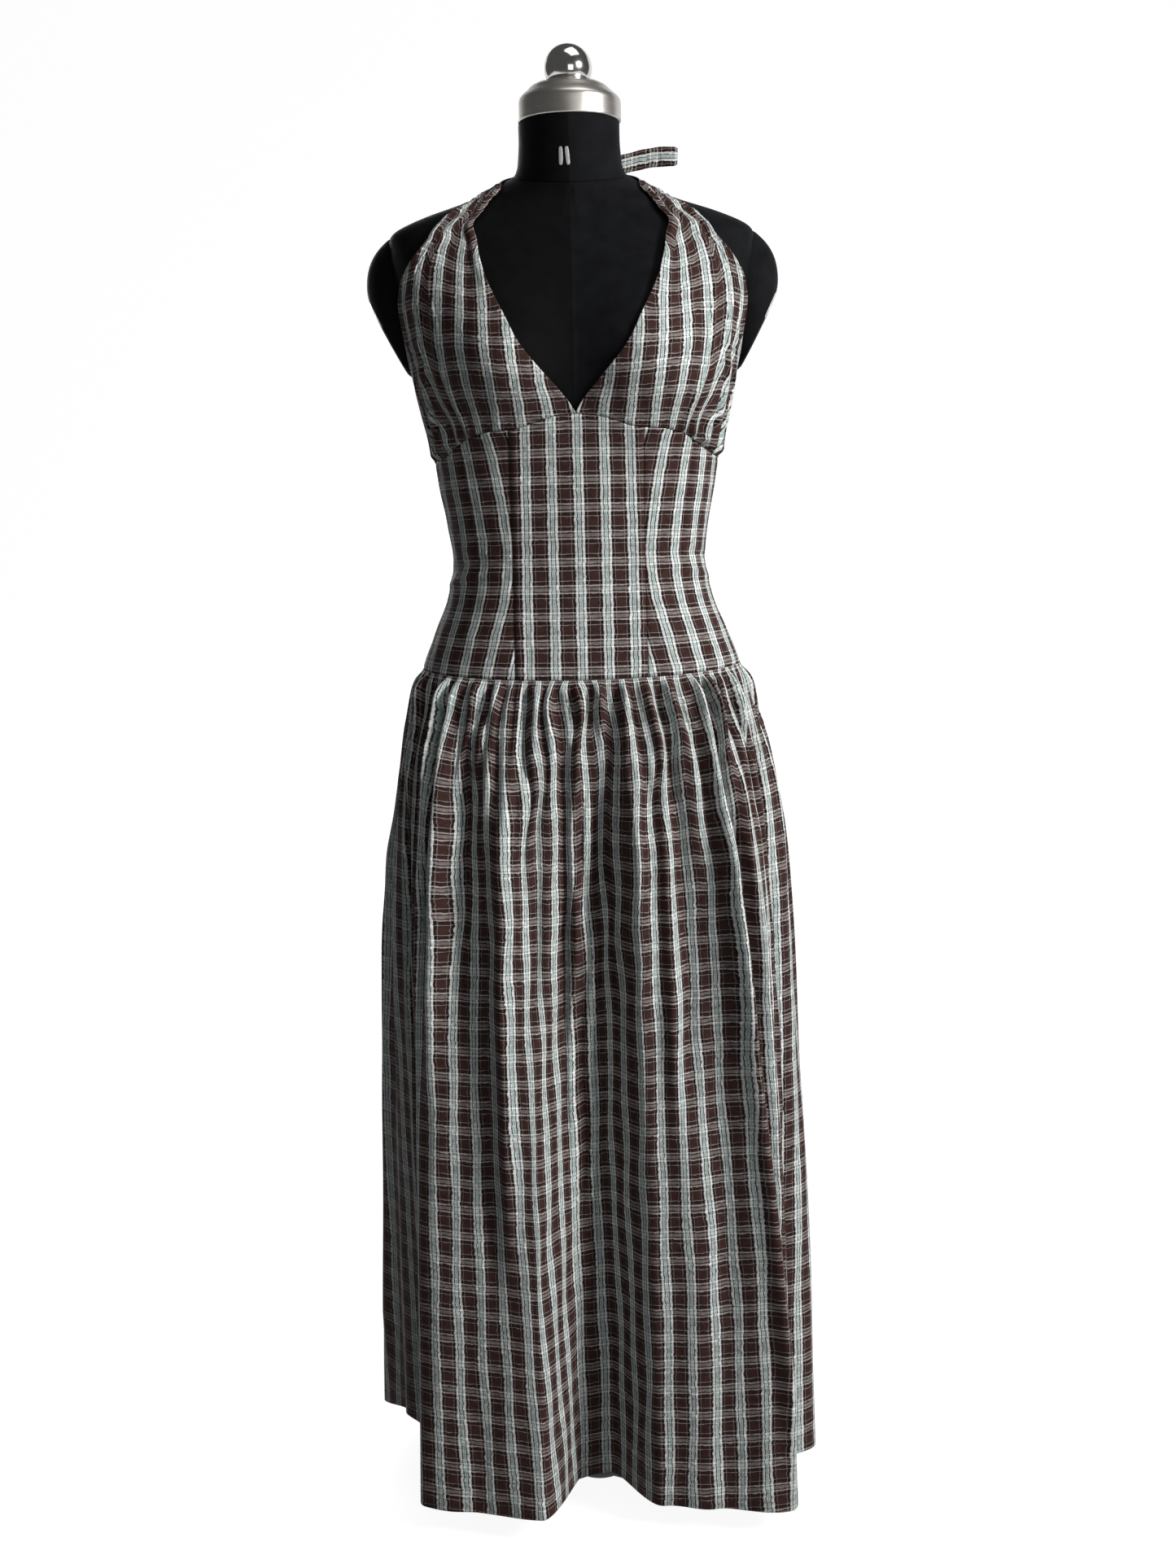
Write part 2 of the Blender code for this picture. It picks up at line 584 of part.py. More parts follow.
def main():
    for item in list(bpy.data.objects):
        bpy.data.objects.remove(item, do_unlink=True)
    dress = bpy.data.collections.new("halter_dress_on_form")
    cutters = bpy.data.collections.new("cutters")
    bpy.context.scene.collection.children.link(dress)
    bpy.context.scene.collection.children.link(cutters)

    cloth = material("plaid_cotton", (0.125, 0.105, 0.098), 0.92)
    cover = material("form_cover", (0.010, 0.010, 0.012), 0.80)
    satin = material("satin_steel", (0.52, 0.50, 0.46), 0.34, 1.0)
    polished = material("polished_steel", (0.62, 0.60, 0.56), 0.12, 1.0)
    painted = material("stand_paint", (0.020, 0.020, 0.022), 0.45)

    add_torso(dress, cover)
    add_shoulder(dress, cutters, "form_shoulder_right", 1, cover)
    add_shoulder(dress, cutters, "form_shoulder_left", -1, cover)
    add_neck(dress, cover)
    add_cap(dress, satin)
    add_finial(dress, polished)
    add_pole(dress, painted)
    add_base(dress, painted)
    add_cup(dress, "cup_right", 1, cloth)
    add_cup(dress, "cup_left", -1, cloth)
    add_strap(dress, "halter_strap_right", 1, cloth)
    add_strap(dress, "halter_strap_left", -1, cloth)
    add_bodice(dress, cloth)
    add_skirt(dress, "skirt_front", -math.pi / 2, math.pi / 2, cloth)
    add_skirt(dress, "skirt_back", math.pi / 2, 3 * math.pi / 2, cloth)
    add_knot(dress, cloth)
    add_ties(dress, cloth)


main()
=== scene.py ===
"""Halter maxi dress in brown and pale blue seersucker check, on a black limbless dress form.

Metres, +Z up. The dress faces -Y, and +X is its right-hand side as seen from the front.
Each section makes one piece, or one group of like pieces, from the stand up to the knot.
"""
import math

import bpy
import numpy as np
from mathutils import Matrix


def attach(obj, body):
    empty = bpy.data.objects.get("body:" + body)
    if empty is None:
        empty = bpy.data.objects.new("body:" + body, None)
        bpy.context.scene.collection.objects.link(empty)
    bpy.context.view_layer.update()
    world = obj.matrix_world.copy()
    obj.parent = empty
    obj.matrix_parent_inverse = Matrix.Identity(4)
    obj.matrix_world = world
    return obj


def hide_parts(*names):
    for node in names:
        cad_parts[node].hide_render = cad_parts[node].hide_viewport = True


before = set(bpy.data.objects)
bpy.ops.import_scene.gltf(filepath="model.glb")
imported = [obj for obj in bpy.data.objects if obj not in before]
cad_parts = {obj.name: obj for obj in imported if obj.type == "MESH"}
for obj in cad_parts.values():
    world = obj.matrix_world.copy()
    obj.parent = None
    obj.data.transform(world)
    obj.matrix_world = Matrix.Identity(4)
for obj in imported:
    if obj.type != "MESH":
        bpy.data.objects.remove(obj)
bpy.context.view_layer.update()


# Camera. It stands a good two metres off at waist height and looks a little down, and it is
# turned slightly on its axis, so the form leans to the left at the top.
camera_data = bpy.data.cameras.new("camera")
camera_data.sensor_width = 36.0
camera_data.lens = 44.09
camera = bpy.data.objects.new("camera", camera_data)
bpy.context.scene.collection.objects.link(camera)
camera.matrix_world = (Matrix.Translation((0.004, -2.1, 1.06))
                       @ Matrix.Rotation(math.radians(90 - 7.2), 4, "X")
                       @ Matrix.Rotation(math.radians(-1.35), 4, "Z"))
bpy.context.scene.camera = camera


# Stand. A round steel tube under the torso, pushed into a flat foot with three round-ended
# legs. Both are powder coated black, and the skirt hides them.
def surface(name, points, flat=None, around=False, caps=False):
    """A mesh through a grid of points: rows run up and columns to the right, seen from outside.

    around joins the last column to the first, and caps closes the lowest and highest rows.
    flat is each point's place on the cloth before it was sewn, in metres.
    """
    rows, columns = points.shape[:2]
    index = np.arange(rows * columns).reshape(rows, columns)
    if around:
        index = np.concatenate([index, index[:, :1]], axis=1)
    quads = np.stack([index[:-1, :-1], index[:-1, 1:], index[1:, 1:], index[1:, :-1]], axis=-1)
    faces = quads.reshape(-1, 4).tolist()
    if caps:
        faces.append(list(range(columns - 1, -1, -1)))
        faces.append(list(range((rows - 1) * columns, rows * columns)))
    mesh = bpy.data.meshes.new(name)
    mesh.from_pydata(points.reshape(-1, 3).tolist(), [], faces)
    mesh.shade_smooth()
    if flat is not None:
        corners = np.empty(len(mesh.loops), dtype=np.int32)
        mesh.loops.foreach_get("vertex_index", corners)
        layer = mesh.uv_layers.new(name="flat")
        layer.data.foreach_set("uv", flat.reshape(-1, 2)[corners].ravel())
    made = bpy.data.objects.new(name, mesh)
    bpy.context.scene.collection.objects.link(made)
    return made


def turned(name, profile, count=72):
    """A turned piece: a profile of (radius, height), lowest first, carried round the axis."""
    turn = np.linspace(0, 2 * math.pi, count, endpoint=False)
    radius, height = np.array(profile).T[:, :, None]
    points = np.stack([radius * np.sin(turn), -radius * np.cos(turn), height + 0 * turn], axis=-1)
    return surface(name, points, around=True, caps=True)


def node(tree, kind, inputs=None, **settings):
    """A shader node with its settings. An input gets a value, or a link from another socket."""
    made = tree.nodes.new(kind)
    for name, value in settings.items():
        setattr(made, name, value)
    for name, value in (inputs or {}).items():
        if isinstance(value, bpy.types.NodeSocket):
            tree.links.new(value, made.inputs[name])
        else:
            made.inputs[name].default_value = value
    return made


def maths(tree, operation, first, second=0.0, third=0.0):
    """The result of a Math node, from plain values or from other sockets."""
    return node(tree, "ShaderNodeMath", {0: first, 1: second, 2: third}, operation=operation).outputs[0]


def noise_over(tree, scale, detail):
    """Soft noise from 0 to 1, by the place on the piece itself."""
    place = node(tree, "ShaderNodeTexCoord").outputs["Object"]
    made = node(tree, "ShaderNodeTexNoise", {"Vector": place, "Scale": scale, "Detail": detail})
    return made.outputs["Fac"]


def spread(tree, value, low, high, start=0.0, end=1.0):
    """A value between start and end, carried over to between low and high."""
    made = node(tree, "ShaderNodeMapRange", {"Value": value, "From Min": start, "From Max": end,
                                             "To Min": low, "To Max": high})
    return made.outputs["Result"]


def two_tone(tree, value, low, high, start=0.0, end=1.0):
    """A colour that runs from low at the start value to high at the end value."""
    made = node(tree, "ShaderNodeValToRGB", {"Fac": value})
    for element, at, colour in zip(made.color_ramp.elements, (start, end), (low, high)):
        element.position = at
        element.color = (*colour, 1)
    return made.outputs["Color"]


def bumps(tree, shader, height, strength, distance):
    """Small relief on a finish: a height from 0 to 1, over a distance in metres."""
    made = node(tree, "ShaderNodeBump", {"Height": height, "Strength": strength, "Distance": distance})
    tree.links.new(made.outputs["Normal"], shader.inputs["Normal"])


def finish_of(name, roughness, metallic=0.0, **constants):
    """A material, its tree and its shader. constants are values that hold all over."""
    made = bpy.data.materials.new(name)
    made.use_nodes = True
    shader = made.node_tree.nodes["Principled BSDF"]
    shader.inputs["Roughness"].default_value = roughness
    shader.inputs["Metallic"].default_value = metallic
    for socket, value in constants.items():
        shader.inputs[socket.replace("_", " ")].default_value = value
    return made, made.node_tree, shader


def dress_piece(made, material, slot, *nodes):
    """Gives a piece its finish, and puts it in the place of its plain solids."""
    made.data.materials.append(material)
    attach(made, "root")
    if nodes:
        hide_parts(*nodes)
    return made


powder_coat, tree, shader = finish_of("powder_coat_black", 0.45)
speckle = noise_over(tree, 900.0, 2.0)
tree.links.new(spread(tree, speckle, 0.014, 0.026), shader.inputs["Base Color"])
bumps(tree, shader, speckle, 0.4, 0.00012)

pole = turned("stand_pole", [(0.0145, 0.0103), (0.016, 0.0118), (0.016, 0.797), (0.0145, 0.7985)])
dress_piece(pole, powder_coat, "stand_paint", "form_pole")

hub_radius = 0.028
leg_half_width = 0.012
leg_length = 0.150
round_end = leg_length - leg_half_width
turn = np.linspace(0, 2 * math.pi, 1440, endpoint=False)
reach = np.full(len(turn), hub_radius)
for leg in (-150.0, -30.0, 90.0):
    off = np.abs((turn - math.radians(leg) + math.pi) % (2 * math.pi) - math.pi)
    aside = round_end * np.sin(off)
    on_side = leg_half_width / np.maximum(np.sin(off), leg_half_width / leg_length)
    on_end = round_end * np.cos(off) + np.sqrt(np.maximum(leg_half_width**2 - aside**2, 0))
    in_end = (aside < leg_half_width) & (off < 1)
    reach = np.maximum(reach, np.where(in_end, on_end, np.where(off < 1, on_side, 0)))
# Rows of the plate's edge: how far in from its outline, height
plate = [(0.0014, 0.0), (0.0, 0.0014), (0.0, 0.0086), (0.0014, 0.010)]
foot = np.stack([np.stack([(reach - inset) * np.cos(turn), (reach - inset) * np.sin(turn),
                           np.full(len(turn), level)], axis=-1) for inset, level in plate])
dress_piece(surface("stand_foot", foot, around=True, caps=True), powder_coat, "stand_paint", "form_base")


# Torso of the dress form. A padded shell in a tight black jersey cover, with the cover's
# seam down the front and back centre. It carries the dress, and its shoulders show.
body_sections = np.array([
    # height on the axis, half width, depth to the front, to the back, tilt, squareness
    (0.800, 0.1680, 0.104, 0.116, 0.00, 0.12),
    (0.860, 0.1730, 0.108, 0.121, 0.00, 0.12),
    (0.920, 0.1705, 0.107, 0.116, 0.00, 0.12),
    (0.960, 0.1560, 0.102, 0.105, 0.00, 0.12),
    (1.000, 0.1400, 0.097, 0.093, 0.00, 0.12),
    (1.040, 0.1325, 0.094, 0.085, 0.00, 0.12),
    (1.080, 0.1370, 0.096, 0.086, 0.00, 0.12),
    (1.120, 0.1445, 0.099, 0.093, 0.00, 0.12),
    (1.160, 0.1510, 0.102, 0.101, 0.00, 0.13),
    (1.200, 0.1600, 0.104, 0.108, 0.00, 0.15),
    (1.240, 0.1705, 0.104, 0.113, 0.00, 0.18),
    (1.290, 0.1800, 0.099, 0.115, 0.00, 0.24),
    (1.330, 0.1870, 0.090, 0.108, 0.00, 0.30),
    (1.365, 0.1920, 0.077, 0.094, 0.00, 0.30),
    (1.388, 0.1880, 0.064, 0.079, 0.03, 0.28),
    (1.404, 0.1560, 0.057, 0.070, 0.08, 0.20),
    (1.420, 0.1100, 0.054, 0.064, 0.16, 0.12),
    (1.434, 0.0780, 0.053, 0.060, 0.24, 0.05),
    (1.4445, 0.0600, 0.054, 0.058, 0.30, 0.00)])


def column_at(table, column, place_on):
    """A table's column at any place, by cubic pieces through its rows with even slopes."""
    rows, values = table[:, 0], table[:, column]
    slopes = np.gradient(values, rows)
    low = np.clip(np.searchsorted(rows, place_on) - 1, 0, len(rows) - 2)
    span = rows[low + 1] - rows[low]
    t = (place_on - rows[low]) / span
    start = (2 * t**3 - 3 * t**2 + 1) * values[low] + (t**3 - 2 * t**2 + t) * span * slopes[low]
    return start + (3 * t**2 - 2 * t**3) * values[low + 1] + (t**3 - t**2) * span * slopes[low + 1]


def body_point(angle, height):
    """A squared oval at each height, tilted near the neck, with two soft swells for the bust.

    Angle 0 is the front centre and grows to the right.
    """
    half, front, back, tilt, square = [column_at(body_sections, k, height) for k in range(1, 6)]
    sine, cosine = np.sin(angle), np.cos(angle)
    x = half * sine * (1 + square * cosine**2)
    y = -np.where(cosine > 0, front, back) * cosine * (1 + square * sine**2)
    aside = np.sqrt(x**2 + 0.018**2)
    up = (height - 1.238) / np.where(height > 1.238, 0.085, 0.052)
    swell = np.exp(-((aside - 0.078) / 0.064)**2 - up**2)
    y = y - 0.038 * swell * np.clip(2.5 * cosine, 0, 1)
    return np.stack([x, y, height + tilt * y], axis=-1)


def unit(vectors):
    """Directions: each vector divided by its own length."""
    return vectors / np.linalg.norm(vectors, axis=-1, keepdims=True)


def body_outward(angle, height, step=1e-4):
    """The direction square to the body, from its slopes round and up."""
    round_it = body_point(angle + step, height) - body_point(angle - step, height)
    up_it = body_point(angle, height + step) - body_point(angle, height - step)
    return unit(np.cross(round_it, up_it))


def mixed_colour(tree, factor, first, second, blend_type="MIX"):
    """Two colours mixed or multiplied. The Mix node's sockets 6 and 7 are its colours."""
    made = node(tree, "ShaderNodeMix", {0: factor, 6: first, 7: second}, data_type="RGBA",
                blend_type=blend_type)
    return made.outputs[2]


def jersey_cover(name, shade_low, shade_high, left_painted_shade):
    """Black knitted cover: fine ribs 0.9 mm apart and faint mottling.

    The left half is painted darker by the factor given last: painted shade on the side that faces away from
    the light.
    """
    made, tree, shader = finish_of(name, 0.70, Specular_IOR_Level=0.05)
    place = node(tree, "ShaderNodeTexCoord").outputs["Object"]
    parts = node(tree, "ShaderNodeSeparateXYZ", {"Vector": place}).outputs
    mottle = noise_over(tree, 60.0, 4.0)
    colour = two_tone(tree, mottle, shade_low, shade_high, 0.3, 0.75)
    # Painted shade: the colour of the cover's left half is multiplied darker, where the form turns away
    # from the light.
    left_half_painted_shade = spread(tree, parts["X"], left_painted_shade, 1.0, -0.0012, 0.0004)
    colour_with_painted_light = mixed_colour(tree, 1.0, colour, left_half_painted_shade, "MULTIPLY")
    tree.links.new(colour_with_painted_light, shader.inputs["Base Color"])
    across = maths(tree, "SINE", maths(tree, "MULTIPLY", parts["X"], 7000.0))
    along = maths(tree, "SINE", maths(tree, "MULTIPLY", parts["Z"], 5200.0))
    knit = maths(tree, "ADD", maths(tree, "MULTIPLY", across, along), mottle)
    bumps(tree, shader, knit, 0.5, 0.00015)
    return made


jersey = jersey_cover("black_jersey_cover", (0.0040, 0.0043, 0.0052), (0.0080, 0.0084, 0.0098), 0.42)

angle = np.linspace(0, 2 * math.pi, 220, endpoint=False)[None, :]
height = np.linspace(0.800, 1.4445, 190)[:, None]
angle, height = np.broadcast_arrays(angle, height)
points = body_point(angle, height)
outward = body_outward(angle, height)
off_centre = np.abs(points[..., 0])
seam_dip = np.exp(-(off_centre / 0.0016)**2) - 0.45 * np.exp(-((off_centre - 0.0042) / 0.002)**2)
points = points - outward * (0.0009 * seam_dip * (height < 1.44))[..., None]
inner = 0.5 * (points[:1] + points[:1].mean(axis=1, keepdims=True))
upper = 0.5 * (points[-1:] + points[-1:].mean(axis=1, keepdims=True))
points = np.concatenate([inner, points, upper])
dress_piece(surface("torso_cover", points, around=True, caps=True), jersey, "form_cover", "form_torso")


# Shoulder stumps. Each is a padded round shoulder in the same jersey, cut off by a flat
# oblique plate of black board, where an arm would be fitted.
shoulder_sections = np.array([
    # place along the stump, top out, top up, bottom out, bottom up, half depth
    (0.0, 0.165, 1.372, 0.150, 1.262, 0.032),
    (1.0, 0.188, 1.3855, 0.166, 1.246, 0.042),
    (2.0, 0.203, 1.377, 0.1735, 1.2405, 0.043),
    (3.0, 0.2145, 1.361, 0.1750, 1.2400, 0.042),
    (4.0, 0.2195, 1.342, 0.1760, 1.2402, 0.040),
    (5.0, 0.2185, 1.322, 0.1768, 1.2406, 0.037),
    (6.0, 0.2100, 1.303, 0.1775, 1.2411, 0.032)])
board, tree, shader = finish_of("black_board_plate", 0.55)
fibre = noise_over(tree, 420.0, 5.0)
tree.links.new(spread(tree, fibre, 0.007, 0.016), shader.inputs["Base Color"])
bumps(tree, shader, fibre, 0.3, 0.0001)


def stump_point(place_on, turn, shrink=1.0):
    """A point of the oval across the stump that its top, its bottom and its half depth give."""
    place_on, turn = np.broadcast_arrays(place_on, turn)
    top_x, top_z, low_x, low_z, deep = [column_at(shoulder_sections, k, place_on) for k in range(1, 6)]
    middle = np.stack([(top_x + low_x) / 2, np.full_like(top_x, 0.009), (top_z + low_z) / 2], axis=-1)
    upward = np.stack([(top_x - low_x) / 2, 0 * top_x, (top_z - low_z) / 2], axis=-1) * shrink
    forward = np.stack([0 * top_x, -deep, 0 * top_x], axis=-1) * shrink
    return middle + np.cos(turn)[..., None] * upward + np.sin(turn)[..., None] * forward


def shoulder_rings(place_on, count=96, shrink=1.0):
    """Whole ovals across the stump, one for each place along it."""
    turn = np.linspace(0, 2 * math.pi, count, endpoint=False)
    return stump_point(place_on[:, None], turn[None, :], shrink)


for side, name in ((1, "right"), (-1, "left")):
    rings = shoulder_rings(np.linspace(0.0, 5.93, 60))
    lip = shoulder_rings(np.array([5.97]), shrink=0.985)
    last = shoulder_rings(np.array([6.0]), shrink=0.955)
    rings = np.concatenate([rings, lip, last])
    plate_edge = [(shoulder_rings(np.array([6.0]), shrink=s) + np.array([d * 0.97, 0, -d * 0.25]))
                  for s, d in ((0.965, -0.003), (0.965, 0.0002), (0.95, 0.0008), (0.6, 0.0009))]
    arm_plate = np.concatenate(plate_edge)
    if side < 0:
        rings = (rings * (-1.0, 1.0, 1.0))[:, ::-1]
        arm_plate = (arm_plate * (-1.0, 1.0, 1.0))[:, ::-1]
    stump = surface("shoulder_" + name, rings, around=True, caps=True)
    dress_piece(stump, jersey, "form_cover", "form_shoulder_" + name)
    dress_piece(surface("arm_plate_" + name, arm_plate, around=True, caps=True), board, "form_cover")


# Neck. The jersey goes on up a round neck and ends under the metal cap, with a stitched
# seam where it joins the torso.
turn = np.linspace(0, 2 * math.pi, 160, endpoint=False)
foot_ring = body_point(turn, np.full(len(turn), 1.4445)) + np.array([0.0, 0.0, 0.0002])
share = np.linspace(0, 1, 50)[:, None]
neck_radius = np.array([
    # share of the way up, radius
    (0.0, 0.0562), (0.22, 0.0552), (0.55, 0.0537), (1.0, 0.0535)])
radius = column_at(neck_radius, 1, share)
straight = np.stack([radius * np.sin(turn), -radius * np.cos(turn),
                     foot_ring[:, 2] * (1 - share) + 1.4982 * share], axis=-1)
take_over = np.clip(share / 0.22, 0, 1)[..., None]
take_over = take_over * take_over * (3 - 2 * take_over)
neck = foot_ring * (1 - take_over) + straight * take_over
groove = np.exp(-(share / 0.05)**2)[..., None]
neck[..., :2] *= 1 - 0.012 * groove
dress_piece(surface("neck_cover", neck, around=True, caps=True), jersey, "form_cover", "form_neck")


# Neck cap and finial. A spun steel cap with an upright band, brushed round, and a polished
# chromed ball screwed onto its low dome.
satin, tree, shader = finish_of("satin_steel", 0.34, 1.0)
place = node(tree, "ShaderNodeTexCoord").outputs["Object"]
parts = node(tree, "ShaderNodeSeparateXYZ", {"Vector": place}).outputs
lines = node(tree, "ShaderNodeCombineXYZ", {"X": maths(tree, "MULTIPLY", parts["X"], 6.0),
                                            "Y": maths(tree, "MULTIPLY", parts["Y"], 6.0),
                                            "Z": maths(tree, "MULTIPLY", parts["Z"], 2600.0)})
brush = node(tree, "ShaderNodeTexNoise", {"Vector": lines.outputs["Vector"], "Scale": 1.0, "Detail": 3.0})
colour = two_tone(tree, brush.outputs["Fac"], (0.44, 0.42, 0.39), (0.64, 0.61, 0.57), 0.25, 0.8)
tree.links.new(colour, shader.inputs["Base Color"])
tree.links.new(spread(tree, noise_over(tree, 55.0, 3.0), 0.26, 0.42), shader.inputs["Roughness"])
bumps(tree, shader, brush.outputs["Fac"], 0.25, 0.00006)

cap_profile = np.array([
    # share of the way, share of the radius, share of the height
    (0.00, 0.985, 0.000), (0.02, 1.000, 0.020), (0.10, 1.000, 0.150), (0.22, 1.000, 0.480),
    (0.30, 0.980, 0.560), (0.38, 0.920, 0.640), (0.50, 0.830, 0.740), (0.65, 0.730, 0.870),
    (0.80, 0.600, 0.960), (1.00, 0.440, 1.000)])
along = np.linspace(0, 1, 90)
cap_rows = np.stack([0.0555 * np.interp(along, cap_profile[:, 0], cap_profile[:, 1]),
                     1.4985 + 0.0415 * np.interp(along, cap_profile[:, 0], cap_profile[:, 2])], axis=-1)
for _ in range(3):
    cap_rows[12:-1] = (cap_rows[11:-2] + cap_rows[12:-1] + cap_rows[13:]) / 3
dress_piece(turned("neck_cap", cap_rows, 128), satin, "satin_steel", "form_neck_cap")

chrome, tree, shader = finish_of("polished_chrome", 0.08, 1.0)
smear = noise_over(tree, 90.0, 3.0)
colour = two_tone(tree, smear, (0.56, 0.55, 0.53), (0.74, 0.73, 0.71))
tree.links.new(colour, shader.inputs["Base Color"])
tree.links.new(spread(tree, smear, 0.07, 0.2), shader.inputs["Roughness"])

ball_low = math.acos((1.4985 + 0.0415 + 0.0003 - 1.5535) / 0.026)
polar = np.linspace(ball_low, 0.02, 60)
ball_rows = np.stack([0.026 * np.sin(polar), 1.5535 + 0.026 * np.cos(polar)], axis=-1)
dress_piece(turned("finial_ball", ball_rows, 96), chrome, "polished_steel", "form_finial")


# Size marks. The form's printed size marks are left off; a plain silver bar stands in the
# place of each, on the neck and on the edge of both shoulder stumps.
foil, tree, shader = finish_of("silver_foil", 0.40, 0.35)
worn = noise_over(tree, 700.0, 3.0)
tree.links.new(spread(tree, worn, 0.35, 0.62), shader.inputs["Base Color"])


def oval_outline(length, width, count=48):
    """An oval with squarish ends: roots of a cosine and a sine, each with its own sign."""
    turn = np.linspace(0, 2 * math.pi, count, endpoint=False)
    lengthwise = np.sign(np.cos(turn)) * np.abs(np.cos(turn))**0.5 * length / 2
    crosswise = np.sign(np.sin(turn)) * np.abs(np.sin(turn))**0.5 * width / 2
    return lengthwise, crosswise


def foil_bar(name, centre, upward, outward, length, width):
    """A thin flat bar: ovals from 0.6 mm inside what carries it to 0.25 mm above it."""
    upward, outward = unit(np.array(upward, float)), unit(np.array(outward, float))
    lengthwise, crosswise = oval_outline(length, width)
    face = lengthwise[:, None] * upward + crosswise[:, None] * np.cross(outward, upward)
    rings = np.stack([np.array(centre) + shrink * face + rise * outward
                      for shrink, rise in ((1.0, -0.0006), (1.0, 0.00015), (0.9, 0.00025))])
    return dress_piece(surface(name, rings, around=True, caps=True), foil, "satin_steel")


neck_bar_radius = 0.0550
for name, at, lean in (("left", -0.0090, 0.0), ("right", -0.0020, -0.09)):
    front = -math.sqrt(neck_bar_radius**2 - at**2)
    foil_bar("neck_size_bar_" + name, (at, front, 1.4550), (lean, 0.0, 1.0), (at, front, 0.0),
             length=0.0185, width=0.0040)

# Each arm bar is laid on the stump's round edge, just in front of the arm plate.
bar_turn, bar_place = oval_outline(0.80, 0.34)
for side, name in ((1, "right"), (-1, "left")):
    layers = []
    for shrink, rise in ((1.0, -0.0006), (1.0, 0.0003), (0.9, 0.0005), (0.5, 0.0005)):
        place_on, turn = 5.0 + shrink * bar_place, 0.95 + shrink * bar_turn
        on_stump = stump_point(place_on, turn)
        slope = stump_point(place_on + 0.01, turn) - on_stump
        bend = stump_point(place_on, turn + 0.01) - on_stump
        outward = unit(np.cross(bend, slope))
        outward = outward * np.sign(outward[:, :1])
        layers.append((on_stump + rise * outward) * (side, 1.0, 1.0))
    bar = surface("arm_size_bar_" + name, np.stack(layers)[:, ::side], around=True, caps=True)
    dress_piece(bar, foil, "satin_steel")


# Bodice. Three fitted front panels joined at princess seams, and one back panel with an
# open straight top edge. All are single seersucker cotton, sewn with turnings inside.
def ramp(tree, factor, widest, stripes):
    """Colours of woven stripes: each is (where it ends in mm from the middle, colour)."""
    made = node(tree, "ShaderNodeValToRGB", {"Fac": factor})
    elements = made.color_ramp.elements
    elements[0].position = 0.0
    elements[0].color = (*stripes[0][1], 1)
    elements.remove(elements[1])
    for (end, colour), (_, following) in zip(stripes[:-1], stripes[1:]):
        elements.new((end - 0.12) / widest).color = (*colour, 1)
        elements.new((end + 0.12) / widest).color = (*following, 1)
    return made.outputs["Color"]


warp_repeat = 0.0275
weft_repeat = 0.0283


